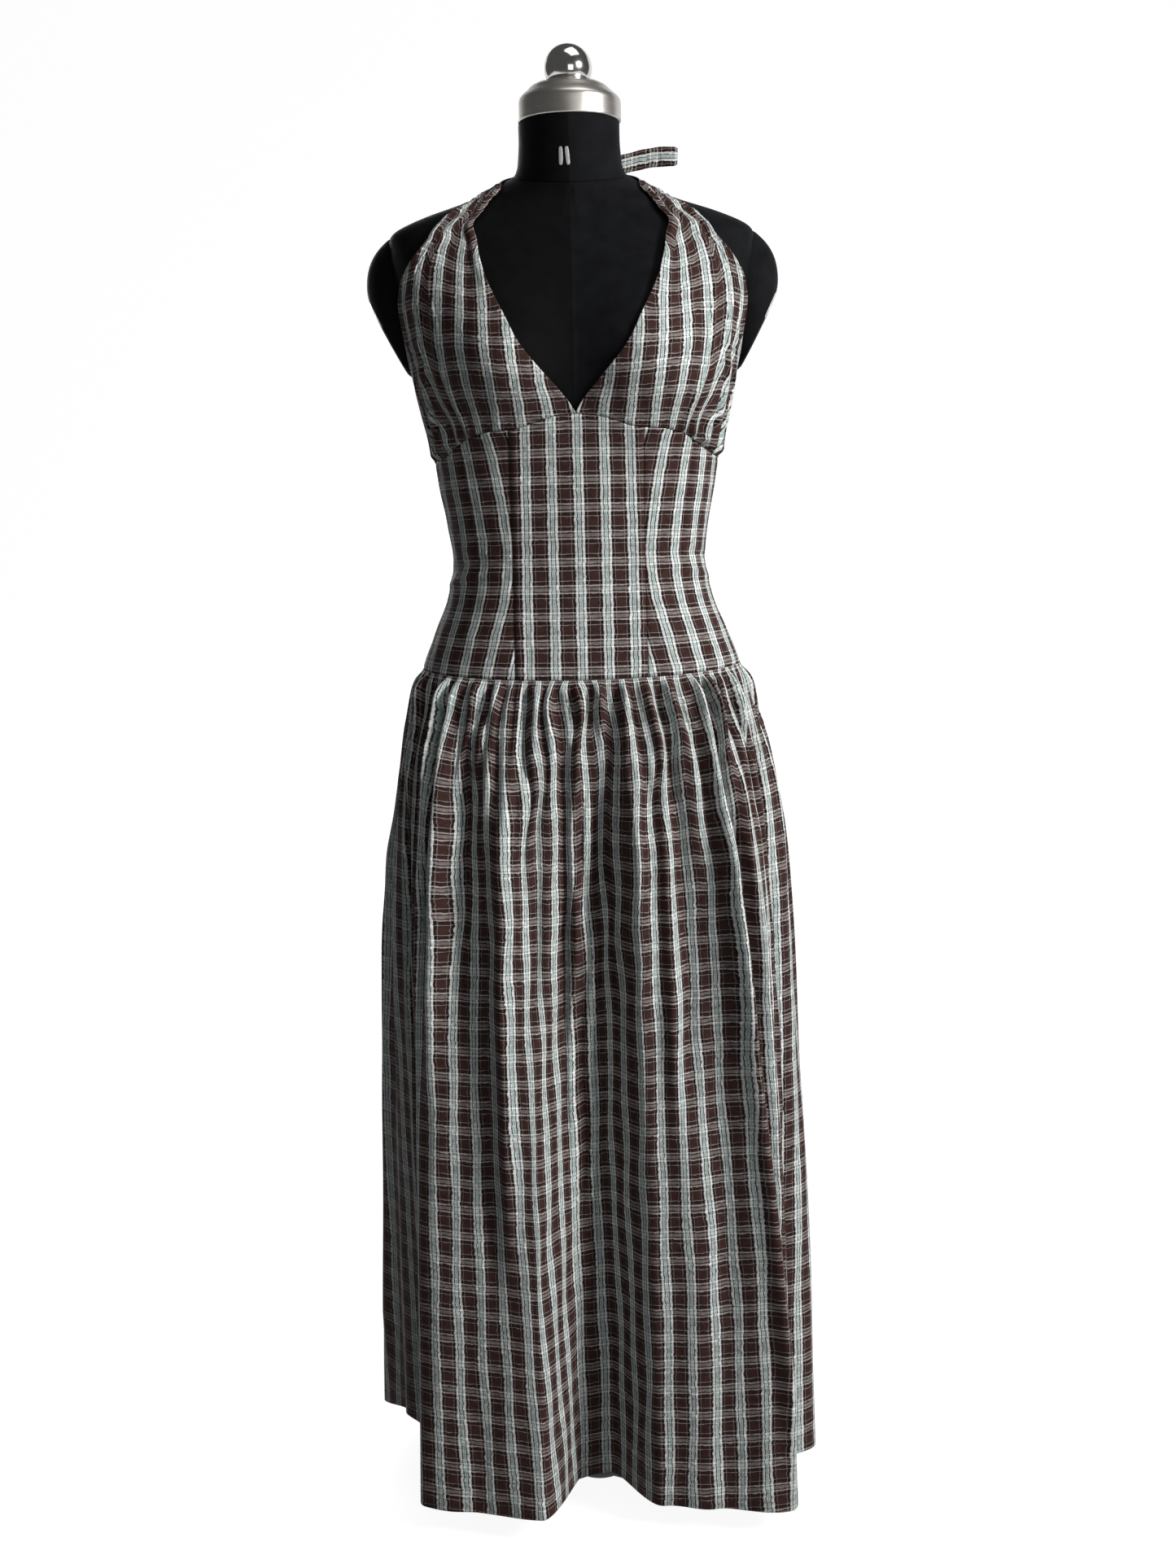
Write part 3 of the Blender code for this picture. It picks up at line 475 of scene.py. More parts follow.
def seersucker_check():
    """Colour and relief of a yarn-dyed seersucker check, from a place on the flat cloth.

    Stripes repeat every 27.5 mm across and 28.3 mm along. A stripe's colour comes from the
    distance to its middle. A little over half of what shows is warp, and its slack pale yarns
    pucker. The crinkle also paints shade and highlight into the colour over the puckers.
    """
    group = bpy.data.node_groups.new("seersucker_check", "ShaderNodeTree")
    group.interface.new_socket("Flat", in_out="INPUT", socket_type="NodeSocketVector")
    for name, value in (("Warp Repeat", warp_repeat), ("Weft Repeat", weft_repeat),
                        ("Warp Share", 0.57), ("Pucker", 1.0)):
        socket = group.interface.new_socket(name, in_out="INPUT", socket_type="NodeSocketFloat")
        socket.default_value = value
    group.interface.new_socket("Colour", in_out="OUTPUT", socket_type="NodeSocketColor")
    group.interface.new_socket("Relief", in_out="OUTPUT", socket_type="NodeSocketFloat")
    given = group.nodes.new("NodeGroupInput").outputs
    result = group.nodes.new("NodeGroupOutput")

    parts = node(group, "ShaderNodeSeparateXYZ", {"Vector": given["Flat"]}).outputs
    fine = node(group, "ShaderNodeCombineXYZ", {"X": maths(group, "MULTIPLY", parts["X"], 130.0),
                                                "Y": maths(group, "MULTIPLY", parts["Y"], 210.0)})
    crinkle = node(group, "ShaderNodeTexNoise", {"Vector": fine.outputs[0], "Scale": 1.0, "Detail": 3.0,
                                                 "Roughness": 0.6})
    wide = node(group, "ShaderNodeCombineXYZ", {"X": maths(group, "MULTIPLY", parts["X"], 45.0),
                                                "Y": maths(group, "MULTIPLY", parts["Y"], 85.0)})
    ruffle = node(group, "ShaderNodeTexNoise", {"Vector": wide.outputs[0], "Scale": 1.0, "Detail": 2.0})
    sway = maths(group, "MULTIPLY", maths(group, "SUBTRACT", crinkle.outputs["Fac"], 0.5), 0.0030)
    sway = maths(group, "MULTIPLY", sway, given["Pucker"])
    shift = maths(group, "MULTIPLY", maths(group, "SUBTRACT", ruffle.outputs["Fac"], 0.5), 0.0022)

    def stripe_place(along, repeat, moved):
        """0 in the middle of a stripe band and 1 half way to the next one."""
        turns = maths(group, "DIVIDE", maths(group, "ADD", along, moved), repeat)
        wave = maths(group, "PINGPONG", turns, 0.5)
        return maths(group, "MULTIPLY", wave, 2.0)

    across = stripe_place(parts["X"], given["Warp Repeat"], maths(group, "ADD", sway, shift))
    upward = stripe_place(parts["Y"], given["Weft Repeat"], sway)
    pale, blue, white = (0.72, 0.87, 0.85), (0.46, 0.60, 0.58), (0.97, 1.0, 0.99)
    brown, black, thread = (0.038, 0.0172, 0.0145), (0.006, 0.004, 0.004), (0.26, 0.22, 0.21)
    deep, edge = (0.030, 0.046, 0.044), (0.50, 0.44, 0.42)
    warp = ramp(group, across, 13.75, [
        (0.45, blue), (1.7, pale), (2.75, deep), (5.3, white), (8.1, black), (8.8, thread),
        (13.75, brown)])
    band, dark_band, line = (0.34, 0.315, 0.30), (0.050, 0.040, 0.037), (0.62, 0.57, 0.55)
    weft = ramp(group, upward, 14.15, [
        (1.5, band), (3.1, dark_band), (4.6, line), (8.5, black), (9.15, edge), (14.15, brown)])

    # Yarns cross over and under every 0.42 mm, so each shows in turn.
    over = maths(group, "SINE", maths(group, "MULTIPLY", parts["X"], 7480.0))
    under = maths(group, "SINE", maths(group, "MULTIPLY", parts["Y"], 7480.0))
    weave = maths(group, "MULTIPLY", over, under)
    shown = maths(group, "MULTIPLY_ADD", weave, 0.10, maths(group, "SUBTRACT", 1.0, given["Warp Share"]))
    woven = mixed_colour(group, shown, warp, weft)

    slack = spread(group, across, 1.0, 0.22, 0.30, 0.50)
    ridges = maths(group, "MULTIPLY", crinkle.outputs["Fac"], slack)
    ridges = maths(group, "MULTIPLY_ADD", ruffle.outputs["Fac"], 0.55, ridges)
    ridges = maths(group, "MULTIPLY", ridges, given["Pucker"])
    relief = maths(group, "MULTIPLY_ADD", weave, 0.035, ridges)
    # Painted shade and highlight: the crinkle darkens the check in the puckers' hollows and lightens it on
    # their tops.
    pucker_painted_light = spread(group, crinkle.outputs["Fac"], 0.68, 1.30, 0.3, 0.7)
    colour_with_painted_light = mixed_colour(group, 1.0, woven, pucker_painted_light, "MULTIPLY")
    group.links.new(colour_with_painted_light, result.inputs["Colour"])
    group.links.new(relief, result.inputs["Relief"])
    return group


check_weave = seersucker_check()


def seersucker(name, pucker):
    """A cloth finish that reads each piece's flat place, with the pucker of that piece."""
    made, tree, shader = finish_of(name, 0.80, Specular_IOR_Level=0.10)
    flat = node(tree, "ShaderNodeUVMap", uv_map="flat")
    weave = node(tree, "ShaderNodeGroup", node_tree=check_weave)
    tree.links.new(flat.outputs["UV"], weave.inputs["Flat"])
    weave.inputs["Pucker"].default_value = pucker
    tree.links.new(weave.outputs["Colour"], shader.inputs["Base Color"])
    bumps(tree, shader, weave.outputs["Relief"], 1.0, 0.0011)
    return made


seersucker_flat = seersucker("seersucker_fitted", 0.75)
seersucker_full = seersucker("seersucker_loose", 1.15)


def cloth(name, points, flat, material, *nodes):
    """A cloth piece: the grid is its outer face, and it is 0.6 mm thick inwards."""
    made = surface(name, points, flat)
    dress_piece(made, material, "plaid_cotton", *nodes)
    wall = made.modifiers.new("cloth thickness", "SOLIDIFY")
    wall.thickness = 0.0006
    wall.offset = -1.0
    return made


def run_along(points, axis):
    """Distance along the grid's lines from their start, in metres."""
    steps = np.linalg.norm(np.diff(points, axis=axis), axis=-1)
    pad = [(0, 0), (0, 0)]
    pad[axis] = (1, 0)
    return np.pad(np.cumsum(steps, axis=axis), pad)


under_bust_rows = np.array([
    # degrees round the body, height of the seam, and behind the arms of the back's top edge
    (0.0, 1.1905), (8.6, 1.187), (20.0, 1.177), (33.0, 1.174), (42.0, 1.169),
    (55.5, 1.156), (78.0, 1.147), (90.0, 1.146), (110.0, 1.144), (180.0, 1.138)])
outer_face = 0.0033 + 0.0007


def under_bust(angle):
    """Height of the seam under the cups and of the back's top edge, alike on both sides."""
    turned_off = np.abs((np.degrees(angle) + 180.0) % 360.0 - 180.0)
    return column_at(under_bust_rows, 1, np.minimum(turned_off, 180.0))


def drop_waist(angle):
    """The seam over the hips is lowest at the front centre and 9 mm higher from the sides on."""
    return 0.9165 + 0.009 * np.where(np.cos(angle) > 0, np.sin(angle)**2, 1.0)


princess_angle = math.radians(24.0)
panel_half_width = 0.0685


def princess(share):
    """Angle of the front panel's edge, which keeps the panel 137 mm wide all the way up."""
    height = drop_waist(princess_angle) * (1 - share) + under_bust(princess_angle) * share
    bulge = 1 + 0.12 * math.cos(princess_angle)**2
    return np.arcsin(panel_half_width / (bulge * column_at(body_sections, 1, height)))


wrinkles = [
    # degrees round, height, half width in degrees, half height, slope, how far out (m)
    (-62, 1.022, 26, 0.0045, 0.015, 0.0024), (-66, 1.036, 22, 0.0050, 0.02, -0.0020),
    (-50, 1.052, 20, 0.0045, -0.02, 0.0014), (58, 1.028, 24, 0.0050, -0.02, 0.0020),
    (66, 1.045, 20, 0.0045, -0.01, -0.0016), (8, 1.034, 16, 0.0060, 0.01, 0.0008),
    (-12, 1.060, 14, 0.0060, 0.02, -0.0007), (30, 1.090, 12, 0.0070, 0.06, 0.0008),
    (-36, 0.962, 18, 0.0080, 0.04, 0.0012), (38, 0.958, 18, 0.0080, -0.05, 0.0012),
    (108, 1.030, 24, 0.0050, 0.02, 0.0020), (140, 1.046, 26, 0.0055, -0.02, -0.0018),
    (176, 1.028, 26, 0.0060, 0.01, 0.0018), (206, 1.050, 24, 0.0055, 0.02, -0.0016),
    (246, 1.034, 26, 0.0050, -0.02, 0.0020), (160, 0.975, 24, 0.0090, 0.03, 0.0012)]


def bodice_relief(angle, height):
    """Soft cross wrinkles, each a long low bell, with a slow waviness over all."""
    out = 0.00035 * np.sin(23 * angle + 40 * height) * np.sin(90 * height + 5 * angle)
    for round_at, up_at, wide, tall, slope, stand in wrinkles:
        off = (np.degrees(angle) - round_at + 180.0) % 360.0 - 180.0
        line = up_at + slope * np.radians(off)
        out = out + stand * np.exp(-(off / wide)**2 - ((height - line) / tall)**2)
    return out


waist_height = 1.0387


def bodice_panel(left, right, columns, seams, grain):
    """A panel between two edges' angles, from the dropped waist up to the top seam.

    At each sewn edge the cloth dips into the seam and swells beside it. seams gives those two
    swells. grain is the flat place of the panel's middle line, and the waist is at flat height 0.
    """
    up = np.linspace(0, 1, 110)[:, None]
    share = np.linspace(0, 1, columns)[None, :]
    gap = 0.0001
    angle = (left(up) + gap) * (1 - share) + (right(up) - gap) * share
    height = drop_waist(angle) * (1 - up) + under_bust(angle) * up
    base = body_point(angle, height)
    across = run_along(base, 1)
    tall = run_along(base, 0)
    rest_left, rest_right = across, across[:, -1:] - across
    out = bodice_relief(angle, height)
    for rest, swell in ((rest_left, seams[0]), (rest_right, seams[1])):
        out = out - 0.0013 * np.exp(-(rest / 0.0022)**2)
        out = out + swell * np.exp(-((rest - 0.007) / 0.005)**2)
    out = out - 0.0011 * np.exp(-(tall / 0.0022)**2) - 0.0011 * np.exp(-((tall[-1:] - tall) / 0.0022)**2)
    points = base + (outer_face + out)[..., None] * body_outward(angle, height)
    middle = across[:, columns // 2:columns // 2 + 1]
    anchor = np.array([np.interp(waist_height, height[:, k], tall[:, k]) for k in range(columns)])
    flat = np.stack([across - middle + grain, tall - anchor[None, :]], axis=-1)
    return points, flat, angle, height


def princess_left(share):
    """The mirror image of the right princess seam."""
    return -princess(share)


def fixed(angle):
    """An edge that keeps one angle all the way up, as the side seams do."""
    return lambda share: np.full_like(share, angle)


side_seam = math.pi / 2
centre = bodice_panel(princess_left, princess, 120, (0.0012, 0.0012), -0.0009)
right_half = bodice_panel(princess, fixed(side_seam), 120, (-0.0004, 0.0), 0.0)
left_half = bodice_panel(fixed(-side_seam), princess_left, 120, (0.0, -0.0004), 0.0)
back_half = bodice_panel(fixed(side_seam), fixed(3 * side_seam), 220, (0.0, 0.0), 0.0)


def dart(points, angle, height, at_angle, low, high):
    """A narrow dart: a sharp dip along a line, deepest at the top seam and gone at its point."""
    off = (angle - at_angle) * 0.145
    run = np.clip((height - low) / (high - low), 0, 1)
    depth = 0.0022 * run**0.6 * np.exp(-(off / (0.0018 + 0.002 * run))**2)
    ridge = 0.0010 * run * np.exp(-((off - 0.006) / 0.004)**2)
    return points + (ridge - depth)[..., None] * body_outward(angle, height)


cloth("bodice_centre", centre[0], centre[1], seersucker_flat, "midriff_centre")
for name, (points, flat, angle, height), at, seam_edge, join_flat in (
        ("right", right_half, math.radians(49), 0, 0.0685),
        ("left", left_half, math.radians(-49), -1, -0.0703)):
    points = dart(points, angle, height, at, 0.965, 1.16)
    # The check runs on across the princess seam at its middle height.
    row = np.argmin(np.abs(height[:, 60] - 1.10))
    flat = flat + np.array([join_flat - flat[row, seam_edge, 0], 0.0])
    cloth("bodice_side_" + name, points, flat, seersucker_flat, "midriff_side_" + name)
back_points, back_flat = back_half[:2]
cloth("bodice_back", back_points, back_flat + np.array([0.004, 0.0]), seersucker_flat, "midriff_back")


# Cups. Each is one piece, gathered into the outer half of the under-bust seam and drawn in
# to a strap over the shoulder. Its neckline and armhole edges are turned in and stitched.
cup_rows = np.array([
    # level, degrees and height on the neckline edge, degrees and height on the armhole edge
    (0, 0.0, 1.1905, 90.0, 1.146), (1, 3.0, 1.205, 90.0, 1.170), (2, 8.0, 1.224, 90.0, 1.195),
    (3, 13.0, 1.2435, 87.0, 1.218), (4, 16.4, 1.263, 80.0, 1.240), (5, 18.6, 1.284, 74.0, 1.262),
    (6, 20.5, 1.305, 71.0, 1.284), (7, 22.0, 1.326, 69.0, 1.304), (8, 23.0, 1.347, 63.5, 1.3225),
    (9, 23.7, 1.367, 54.0, 1.341), (10, 25.2, 1.385, 43.5, 1.363), (11, 28.2, 1.3995, 38.5, 1.386),
    (12, 33.8, 1.4098, 44.0, 1.4010), (13, 45.2, 1.4205, 54.0, 1.4120), (14, 58.9, 1.431, 70.0, 1.4225),
    (15, 76.0, 1.4365, 84.0, 1.4270)])
cup_stripes = np.array([
    # level share, then where each pale stripe crosses the cup, from the neckline side outwards
    (0.000, 0.10, 0.205, 0.310, 0.395, 0.465, 0.53, 0.61, 0.76),
    (0.070, 0.075, 0.175, 0.278, 0.373, 0.456, 0.51, 0.60, 0.80),
    (0.133, 0.036, 0.128, 0.231, 0.342, 0.450, 0.53, 0.655, 0.87),
    (0.200, -0.03, 0.076, 0.182, 0.305, 0.434, 0.555, 0.68, 0.89),
    (0.267, -0.10, 0.032, 0.149, 0.295, 0.441, 0.609, 0.74, 0.92),
    (0.333, -0.17, -0.01, 0.116, 0.269, 0.443, 0.650, 0.83, 0.98),
    (0.400, -0.24, -0.09, 0.072, 0.218, 0.404, 0.660, 0.88, 1.08),
    (0.467, -0.27, -0.12, 0.034, 0.165, 0.350, 0.620, 0.87, 1.10),
    (0.533, -0.30, -0.13, 0.015, 0.137, 0.330, 0.609, 0.85, 1.10),
    (0.600, -0.35, -0.18, -0.030, 0.125, 0.350, 0.670, 0.95, 1.20),
    (0.667, -0.45, -0.25, -0.080, 0.109, 0.400, 0.850, 1.20, 1.50),
    (0.733, -0.60, -0.38, -0.120, 0.139, 0.507, 0.950, 1.30, 1.70),
    (0.800, -0.70, -0.42, -0.130, 0.156, 0.590, 1.050, 1.50, 1.90),
    (0.867, -0.80, -0.48, -0.140, 0.250, 0.760, 1.250, 1.70, 2.20),
    (0.933, -0.80, -0.42, -0.040, 0.380, 0.850, 1.330, 1.80, 2.30),
    (1.000, -0.80, -0.40, 0.000, 0.420, 0.860, 1.300, 1.75, 2.20)])


def cup_gathers(share, level, strength):
    """Folds that fan up from the outer half of the seam, sharp between round crests."""
    place_in = np.clip((share - 0.42) / 0.5, 0, 1)
    window = np.sin(math.pi * place_in)**0.5 * (place_in > 0) * (place_in < 1)
    count = 7 * place_in + 0.22 * np.sin(9 * place_in) + 0.10 * np.sin(6 * level) * window
    crest = np.sqrt(np.sin(math.pi * count)**2 + 0.006)
    uneven = 1 + 0.30 * np.sin(2.3 * count + 0.4) + 0.18 * np.sin(5.2 * count)
    length = 0.22 * (1 + 0.40 * np.sin(1.9 * count + 1.0))
    fade = np.clip(level / 0.02, 0, 1) * np.exp(-level / length)
    return 0.0074 * strength * window * fade * (crest - 0.2) * uneven


def turn_under(points, flat, radius=0.0008, width=0.005):
    """Adds a turned edge past the last row: half a round fold, then a flat strip behind it."""
    beyond = unit(points[-1] - points[-2])
    round_it = np.gradient(points[-1], axis=0)
    outward = unit(np.cross(round_it, beyond))
    rows, places = [], []
    for t in np.linspace(0, math.pi, 7)[1:]:
        rows.append(points[-1] + beyond * radius * math.sin(t) - outward * radius * (1 - math.cos(t)))
        places.append(radius * t)
    for s in (0.25, 0.6, 1.0):
        rows.append(points[-1] - outward * 2 * radius - beyond * width * s)
        places.append(radius * math.pi + width * s)
    step = flat[-1] - flat[-2]
    step = step / np.linalg.norm(step, axis=-1, keepdims=True)
    extra = np.stack([flat[-1] + step * p for p in places])
    return np.concatenate([points, np.stack(rows)]), np.concatenate([flat, extra])


def turn_under_sides(points, flat, first=True, last=True, **sizes):
    """The same turned edge on the first and last columns."""
    points, flat = points.swapaxes(0, 1), flat.swapaxes(0, 1)
    if last:
        turned_points, turned_flat = turn_under(points[:, ::-1], flat[:, ::-1], **sizes)
        points, flat = turned_points[:, ::-1], turned_flat[:, ::-1]
    if first:
        turned_points, turned_flat = turn_under(points[::-1], flat[::-1], **sizes)
        points, flat = turned_points[::-1], turned_flat[::-1]
    return points.swapaxes(0, 1), flat.swapaxes(0, 1)


def cup_surface(strength, rows=170, columns=150):
    """The right cup: body points between its neckline and armhole, moved out by its folds.

    Rows start on the under-bust seam's curve and ease into straight lines. Its flat place
    comes from the stripes' table across and from the cloth's own length upwards.
    """
    level = np.linspace(0, 1, rows)[:, None]
    share = np.linspace(0, 1, columns)[None, :]
    neck_angle, neck_height, arm_angle, arm_height = [
        column_at(cup_rows, k, 15 * level) for k in range(1, 5)]
    angle = np.radians(neck_angle + 0.03) * (1 - share) + np.radians(arm_angle - 0.03) * share
    height = neck_height * (1 - share) + arm_height * share
    blend = np.clip(1 - level / 0.35, 0, 1)**2
    height = height + blend * (under_bust(angle[:1]) - height[:1])
    seated = np.clip((level - 0.78) / 0.12, 0, 1)
    ease = outer_face - 0.0012 * seated
    base = body_point(angle, height)
    tall, across = run_along(base, 0), run_along(base, 1)
    out = cup_gathers(share, level, strength)
    out = out - 0.0010 * np.exp(-(tall / 0.002)**2)
    lifted = np.exp(-((level - 0.52) / 0.13)**2)
    out = out + 0.0040 * lifted * np.exp(-(across / 0.012)**2)
    rolled = np.clip((level - 0.46) / 0.16, 0, 1)
    out = out + rolled * (0.0022 * np.exp(-((across - 0.0045) / 0.0036)**2)
                          - 0.0013 * np.exp(-((across - 0.0104) / 0.0016)**2))
    rest = across[:, -1:] - across
    out = out + 0.0025 * np.exp(-((level - 0.45) / 0.16)**2) * np.exp(-(rest / 0.009)**2)
    pull = np.sin(2 * math.pi * (2.2 * share + 0.4 * level)) * np.clip((level - 0.55) / 0.3, 0, 1)
    out = out + 0.0009 * pull * (1 - seated) + 0.0004 * np.sin(40 * angle + 70 * height)
    points = base + (ease + out)[..., None] * body_outward(angle, height)
    stripes = np.concatenate([column_at(cup_stripes, k, level) for k in range(1, 9)], axis=1)
    number = np.arange(8.0)
    turns = np.stack([np.interp(share[0], row, number) for row in stripes])
    before = np.minimum(share - stripes[:, :1], 0) / (stripes[:, 1:2] - stripes[:, :1])
    beyond = np.maximum(share - stripes[:, -1:], 0) / (stripes[:, -1:] - stripes[:, -2:-1])
    cloth_across = warp_repeat * (turns + before + beyond)
    climb = np.linalg.norm(np.diff(base, axis=0), axis=-1)**2 - np.diff(cloth_across, axis=0)**2
    climb = np.cumsum(np.sqrt(np.maximum(climb, 1e-8)), axis=0)
    seam_front = under_bust_rows[0, 1]
    cloth_up = (height[:1] - seam_front) * 1.1 + np.concatenate([0 * climb[:1], climb])
    # Near the shoulder the neckline edge is folded over on itself, so its check runs aslant.
    strip = np.clip((0.0104 - across) / 0.0006, 0, 1) * np.clip((level - 0.54) / 0.05, 0, 1)
    cloth_across = cloth_across * (1 - strip) + strip * (2.5 * warp_repeat + across - 0.005)
    cloth_up = cloth_up + strip * 0.7 * across
    return points, np.stack([cloth_across, cloth_up], axis=-1)


sewing_thread, tree, shader = finish_of("sewing_thread_brown", 0.6, Specular_IOR_Level=0.2)
twist = noise_over(tree, 2400.0, 1.0)
colour = two_tone(tree, twist, (0.020, 0.011, 0.010), (0.085, 0.055, 0.050))
tree.links.new(colour, shader.inputs["Base Color"])


def line_on(points, inset, axis, from_end=False):
    """The line on a grid that keeps a distance from one edge, and its outward directions."""
    outward = unit(np.cross(np.gradient(points, axis=1), np.gradient(points, axis=0)))
    if axis == 0:
        points, outward = points.swapaxes(0, 1), outward.swapaxes(0, 1)
    if from_end:
        points, outward = points[:, ::-1], outward[:, ::-1]
    nearest = np.abs(run_along(points, 1) - inset).argmin(axis=1)
    row = np.arange(len(points))
    return points[row, nearest], outward[row, nearest]


def stitches(name, line, outward, pitch=0.0027):
    """A row of machine stitches: eight-sided lozenges, 1.9 mm long, laid along a line."""
    run = np.concatenate([[0], np.cumsum(np.linalg.norm(np.diff(line, axis=0), axis=1))])
    at = np.arange(pitch, run[-1] - pitch, pitch)
    centre = np.stack([np.interp(at, run, line[:, k]) for k in range(3)], axis=-1)
    up = unit(np.stack([np.interp(at, run, outward[:, k]) for k in range(3)], axis=-1))
    along = unit(np.gradient(centre, axis=0))
    side = np.cross(up, along)
    corners = [along * 0.00095, side * 0.00024, -along * 0.00095, -side * 0.00024,
               up * 0.00030, -up * 0.0002]
    vertices = np.stack([centre + up * 0.0001 + c for c in corners], axis=1).reshape(-1, 3)
    lozenge = np.array([(0, 1, 4), (1, 2, 4), (2, 3, 4), (3, 0, 4),
                        (1, 0, 5), (2, 1, 5), (3, 2, 5), (0, 3, 5)])
    faces = (6 * np.arange(len(at))[:, None, None] + lozenge).reshape(-1, 3)
    mesh = bpy.data.meshes.new(name)
    mesh.from_pydata(vertices.tolist(), [], faces.tolist())
    made = bpy.data.objects.new(name, mesh)
    bpy.context.scene.collection.objects.link(made)
    return dress_piece(made, sewing_thread, "plaid_cotton")


stitches("stitch_row_back_top", *line_on(back_points, 0.005, 0, from_end=True))

for side, name, strength in ((1, "right", 1.45), (-1, "left", 1.0)):
    points, flat = cup_surface(strength)
    flat = flat + np.array([0.0, 0.004])
    if side < 0:
        points, flat = (points * (-1.0, 1.0, 1.0))[:, ::-1], (flat * (-1.0, 1.0))[:, ::-1]
    stitches("stitch_row_neckline_" + name, *line_on(points[4:-4], 0.0055, 1, from_end=side < 0))
    stitches("stitch_row_armhole_" + name, *line_on(points[4:-4], 0.0050, 1, from_end=side > 0))
    points, flat = turn_under_sides(points, flat)
    cloth("cup_cloth_" + name, points, flat, seersucker_full, "cup_" + name)


# Halter straps. Each goes on from its cup behind the shoulder, lies round the foot of the
# neck, and runs into the knot with its cloth bunched lengthwise.
for side, name in ((1, "right"), (-1, "left")):
    share = np.linspace(0, 1, 120)[:, None]
    across = np.linspace(0, 1, 40)[None, :]
    top_angle = 76.3 * (1 - share) + 174.6 * share
    low_angle = 84.3 * (1 - share) + 174.6 * share
    settle = 1 - (1 - share)**2
    top = 1.4365 * (1 - settle) + 1.4405 * settle
    low = 1.4270 * (1 - settle) + 1.4285 * settle
    angle = np.radians(top_angle * (1 - across) + low_angle * across)
    height = top * (1 - across) + low * across
    bunch = 0.0007 * np.sin(2 * math.pi * (2.6 * across + 0.3 * share)) * np.clip(share * 3, 0.2, 1)
    points = body_point(angle, height) + (0.0028 + bunch)[..., None] * body_outward(angle, height)
    # Rows run round the body and columns down it, so the grid is turned to rows going up.
    flat = np.stack([0.030 * across + 0 * share, run_along(points, 0)], axis=-1)
    points, flat = points.swapaxes(0, 1)[::-1], flat.swapaxes(0, 1)[::-1]
    if side < 0:
        points, flat = (points * (-1.0, 1.0, 1.0))[:, ::-1], flat[:, ::-1]
    cloth("halter_strap_cloth_" + name, points, flat, seersucker_full, "halter_strap_" + name)


# Skirt. Two wide panels gathered into the dropped waist seam and joined at the sides. Small
# gathers die away below the seam, and long folds grow to the narrow stitched hem.
skirt_sections = np.array([
    # height, half width, depth to the front, depth to the back
    (0.030, 0.2340, 0.150, 0.170), (0.200, 0.2340, 0.148, 0.168), (0.445, 0.2320, 0.143, 0.163),
    (0.640, 0.2250, 0.136, 0.155), (0.760, 0.2125, 0.128, 0.144), (0.850, 0.1935, 0.119, 0.131),
    (0.895, 0.1785, 0.113, 0.122), (0.9255, 0.1715, 0.1101, 0.1185)])
hem_folds = np.array([
    # degrees round, how far out of the plan at the hem
    (-46.0, 0.036), (-28.0, 0.022), (-13.5, 0.028), (-5.0, -0.072), (3.0, -0.080), (15.0, 0.002),
    (27.0, 0.022), (43.0, 0.058), (66.0, -0.030), (86.0, 0.012), (108.0, -0.016),
    (130.0, 0.032), (150.0, -0.026), (170.0, 0.026), (190.0, -0.024), (211.0, 0.020),
    (234.0, 0.054), (250.0, 0.044), (268.0, -0.002), (284.0, -0.026), (301.0, -0.030), (314.0, 0.036)])
skirt_hem_height = 0.030
skirt_fall = 0.89
long_creases = [
    # degrees at the seam, degrees at the hem, how far out, half width (m), from drop, to drop
    (-60, -53, 0.007, 0.010, 0.12, 1.05), (-69, -62, -0.014, 0.015, 0.12, 1.05),
    (-41, -46, 0.007, 0.009, 0.06, 0.55), (-34, -38, -0.009, 0.010, 0.02, 0.45),
    (-22, -19, 0.007, 0.008, 0.05, 0.75), (-27, -24, -0.005, 0.010, 0.08, 0.80),
    (-13, -12, -0.005, 0.008, 0.03, 0.50), (-1, -9, 0.011, 0.009, 0.04, 1.05),
    (5, -1, -0.014, 0.012, -0.02, 0.45), (13, 11, 0.006, 0.009, 0.06, 0.60),
    (20, 20, 0.008, 0.008, 0.08, 0.62), (25, 26, -0.005, 0.009, 0.05, 0.60),
    (31, 33, -0.004, 0.012, 0.20, 0.90), (35, 45, 0.012, 0.008, 0.08, 1.05),
    (41, 52, -0.011, 0.009, 0.10, 1.05), (52, 60, 0.007, 0.009, 0.05, 0.70),
    (64, 71, -0.006, 0.012, 0.20, 1.05), (101, 104, 0.006, 0.010, 0.06, 0.80),
    (118, 116, -0.006, 0.011, 0.10, 1.05), (137, 134, 0.008, 0.010, 0.05, 1.05),
    (158, 160, 0.006, 0.009, 0.04, 0.70), (176, 181, -0.008, 0.011, 0.06, 1.05),
    (197, 194, 0.007, 0.009, 0.05, 0.75), (222, 228, 0.008, 0.010, 0.08, 1.05),
    (243, 246, -0.006, 0.010, 0.05, 0.80), (262, 258, 0.006, 0.010, 0.10, 1.05)]
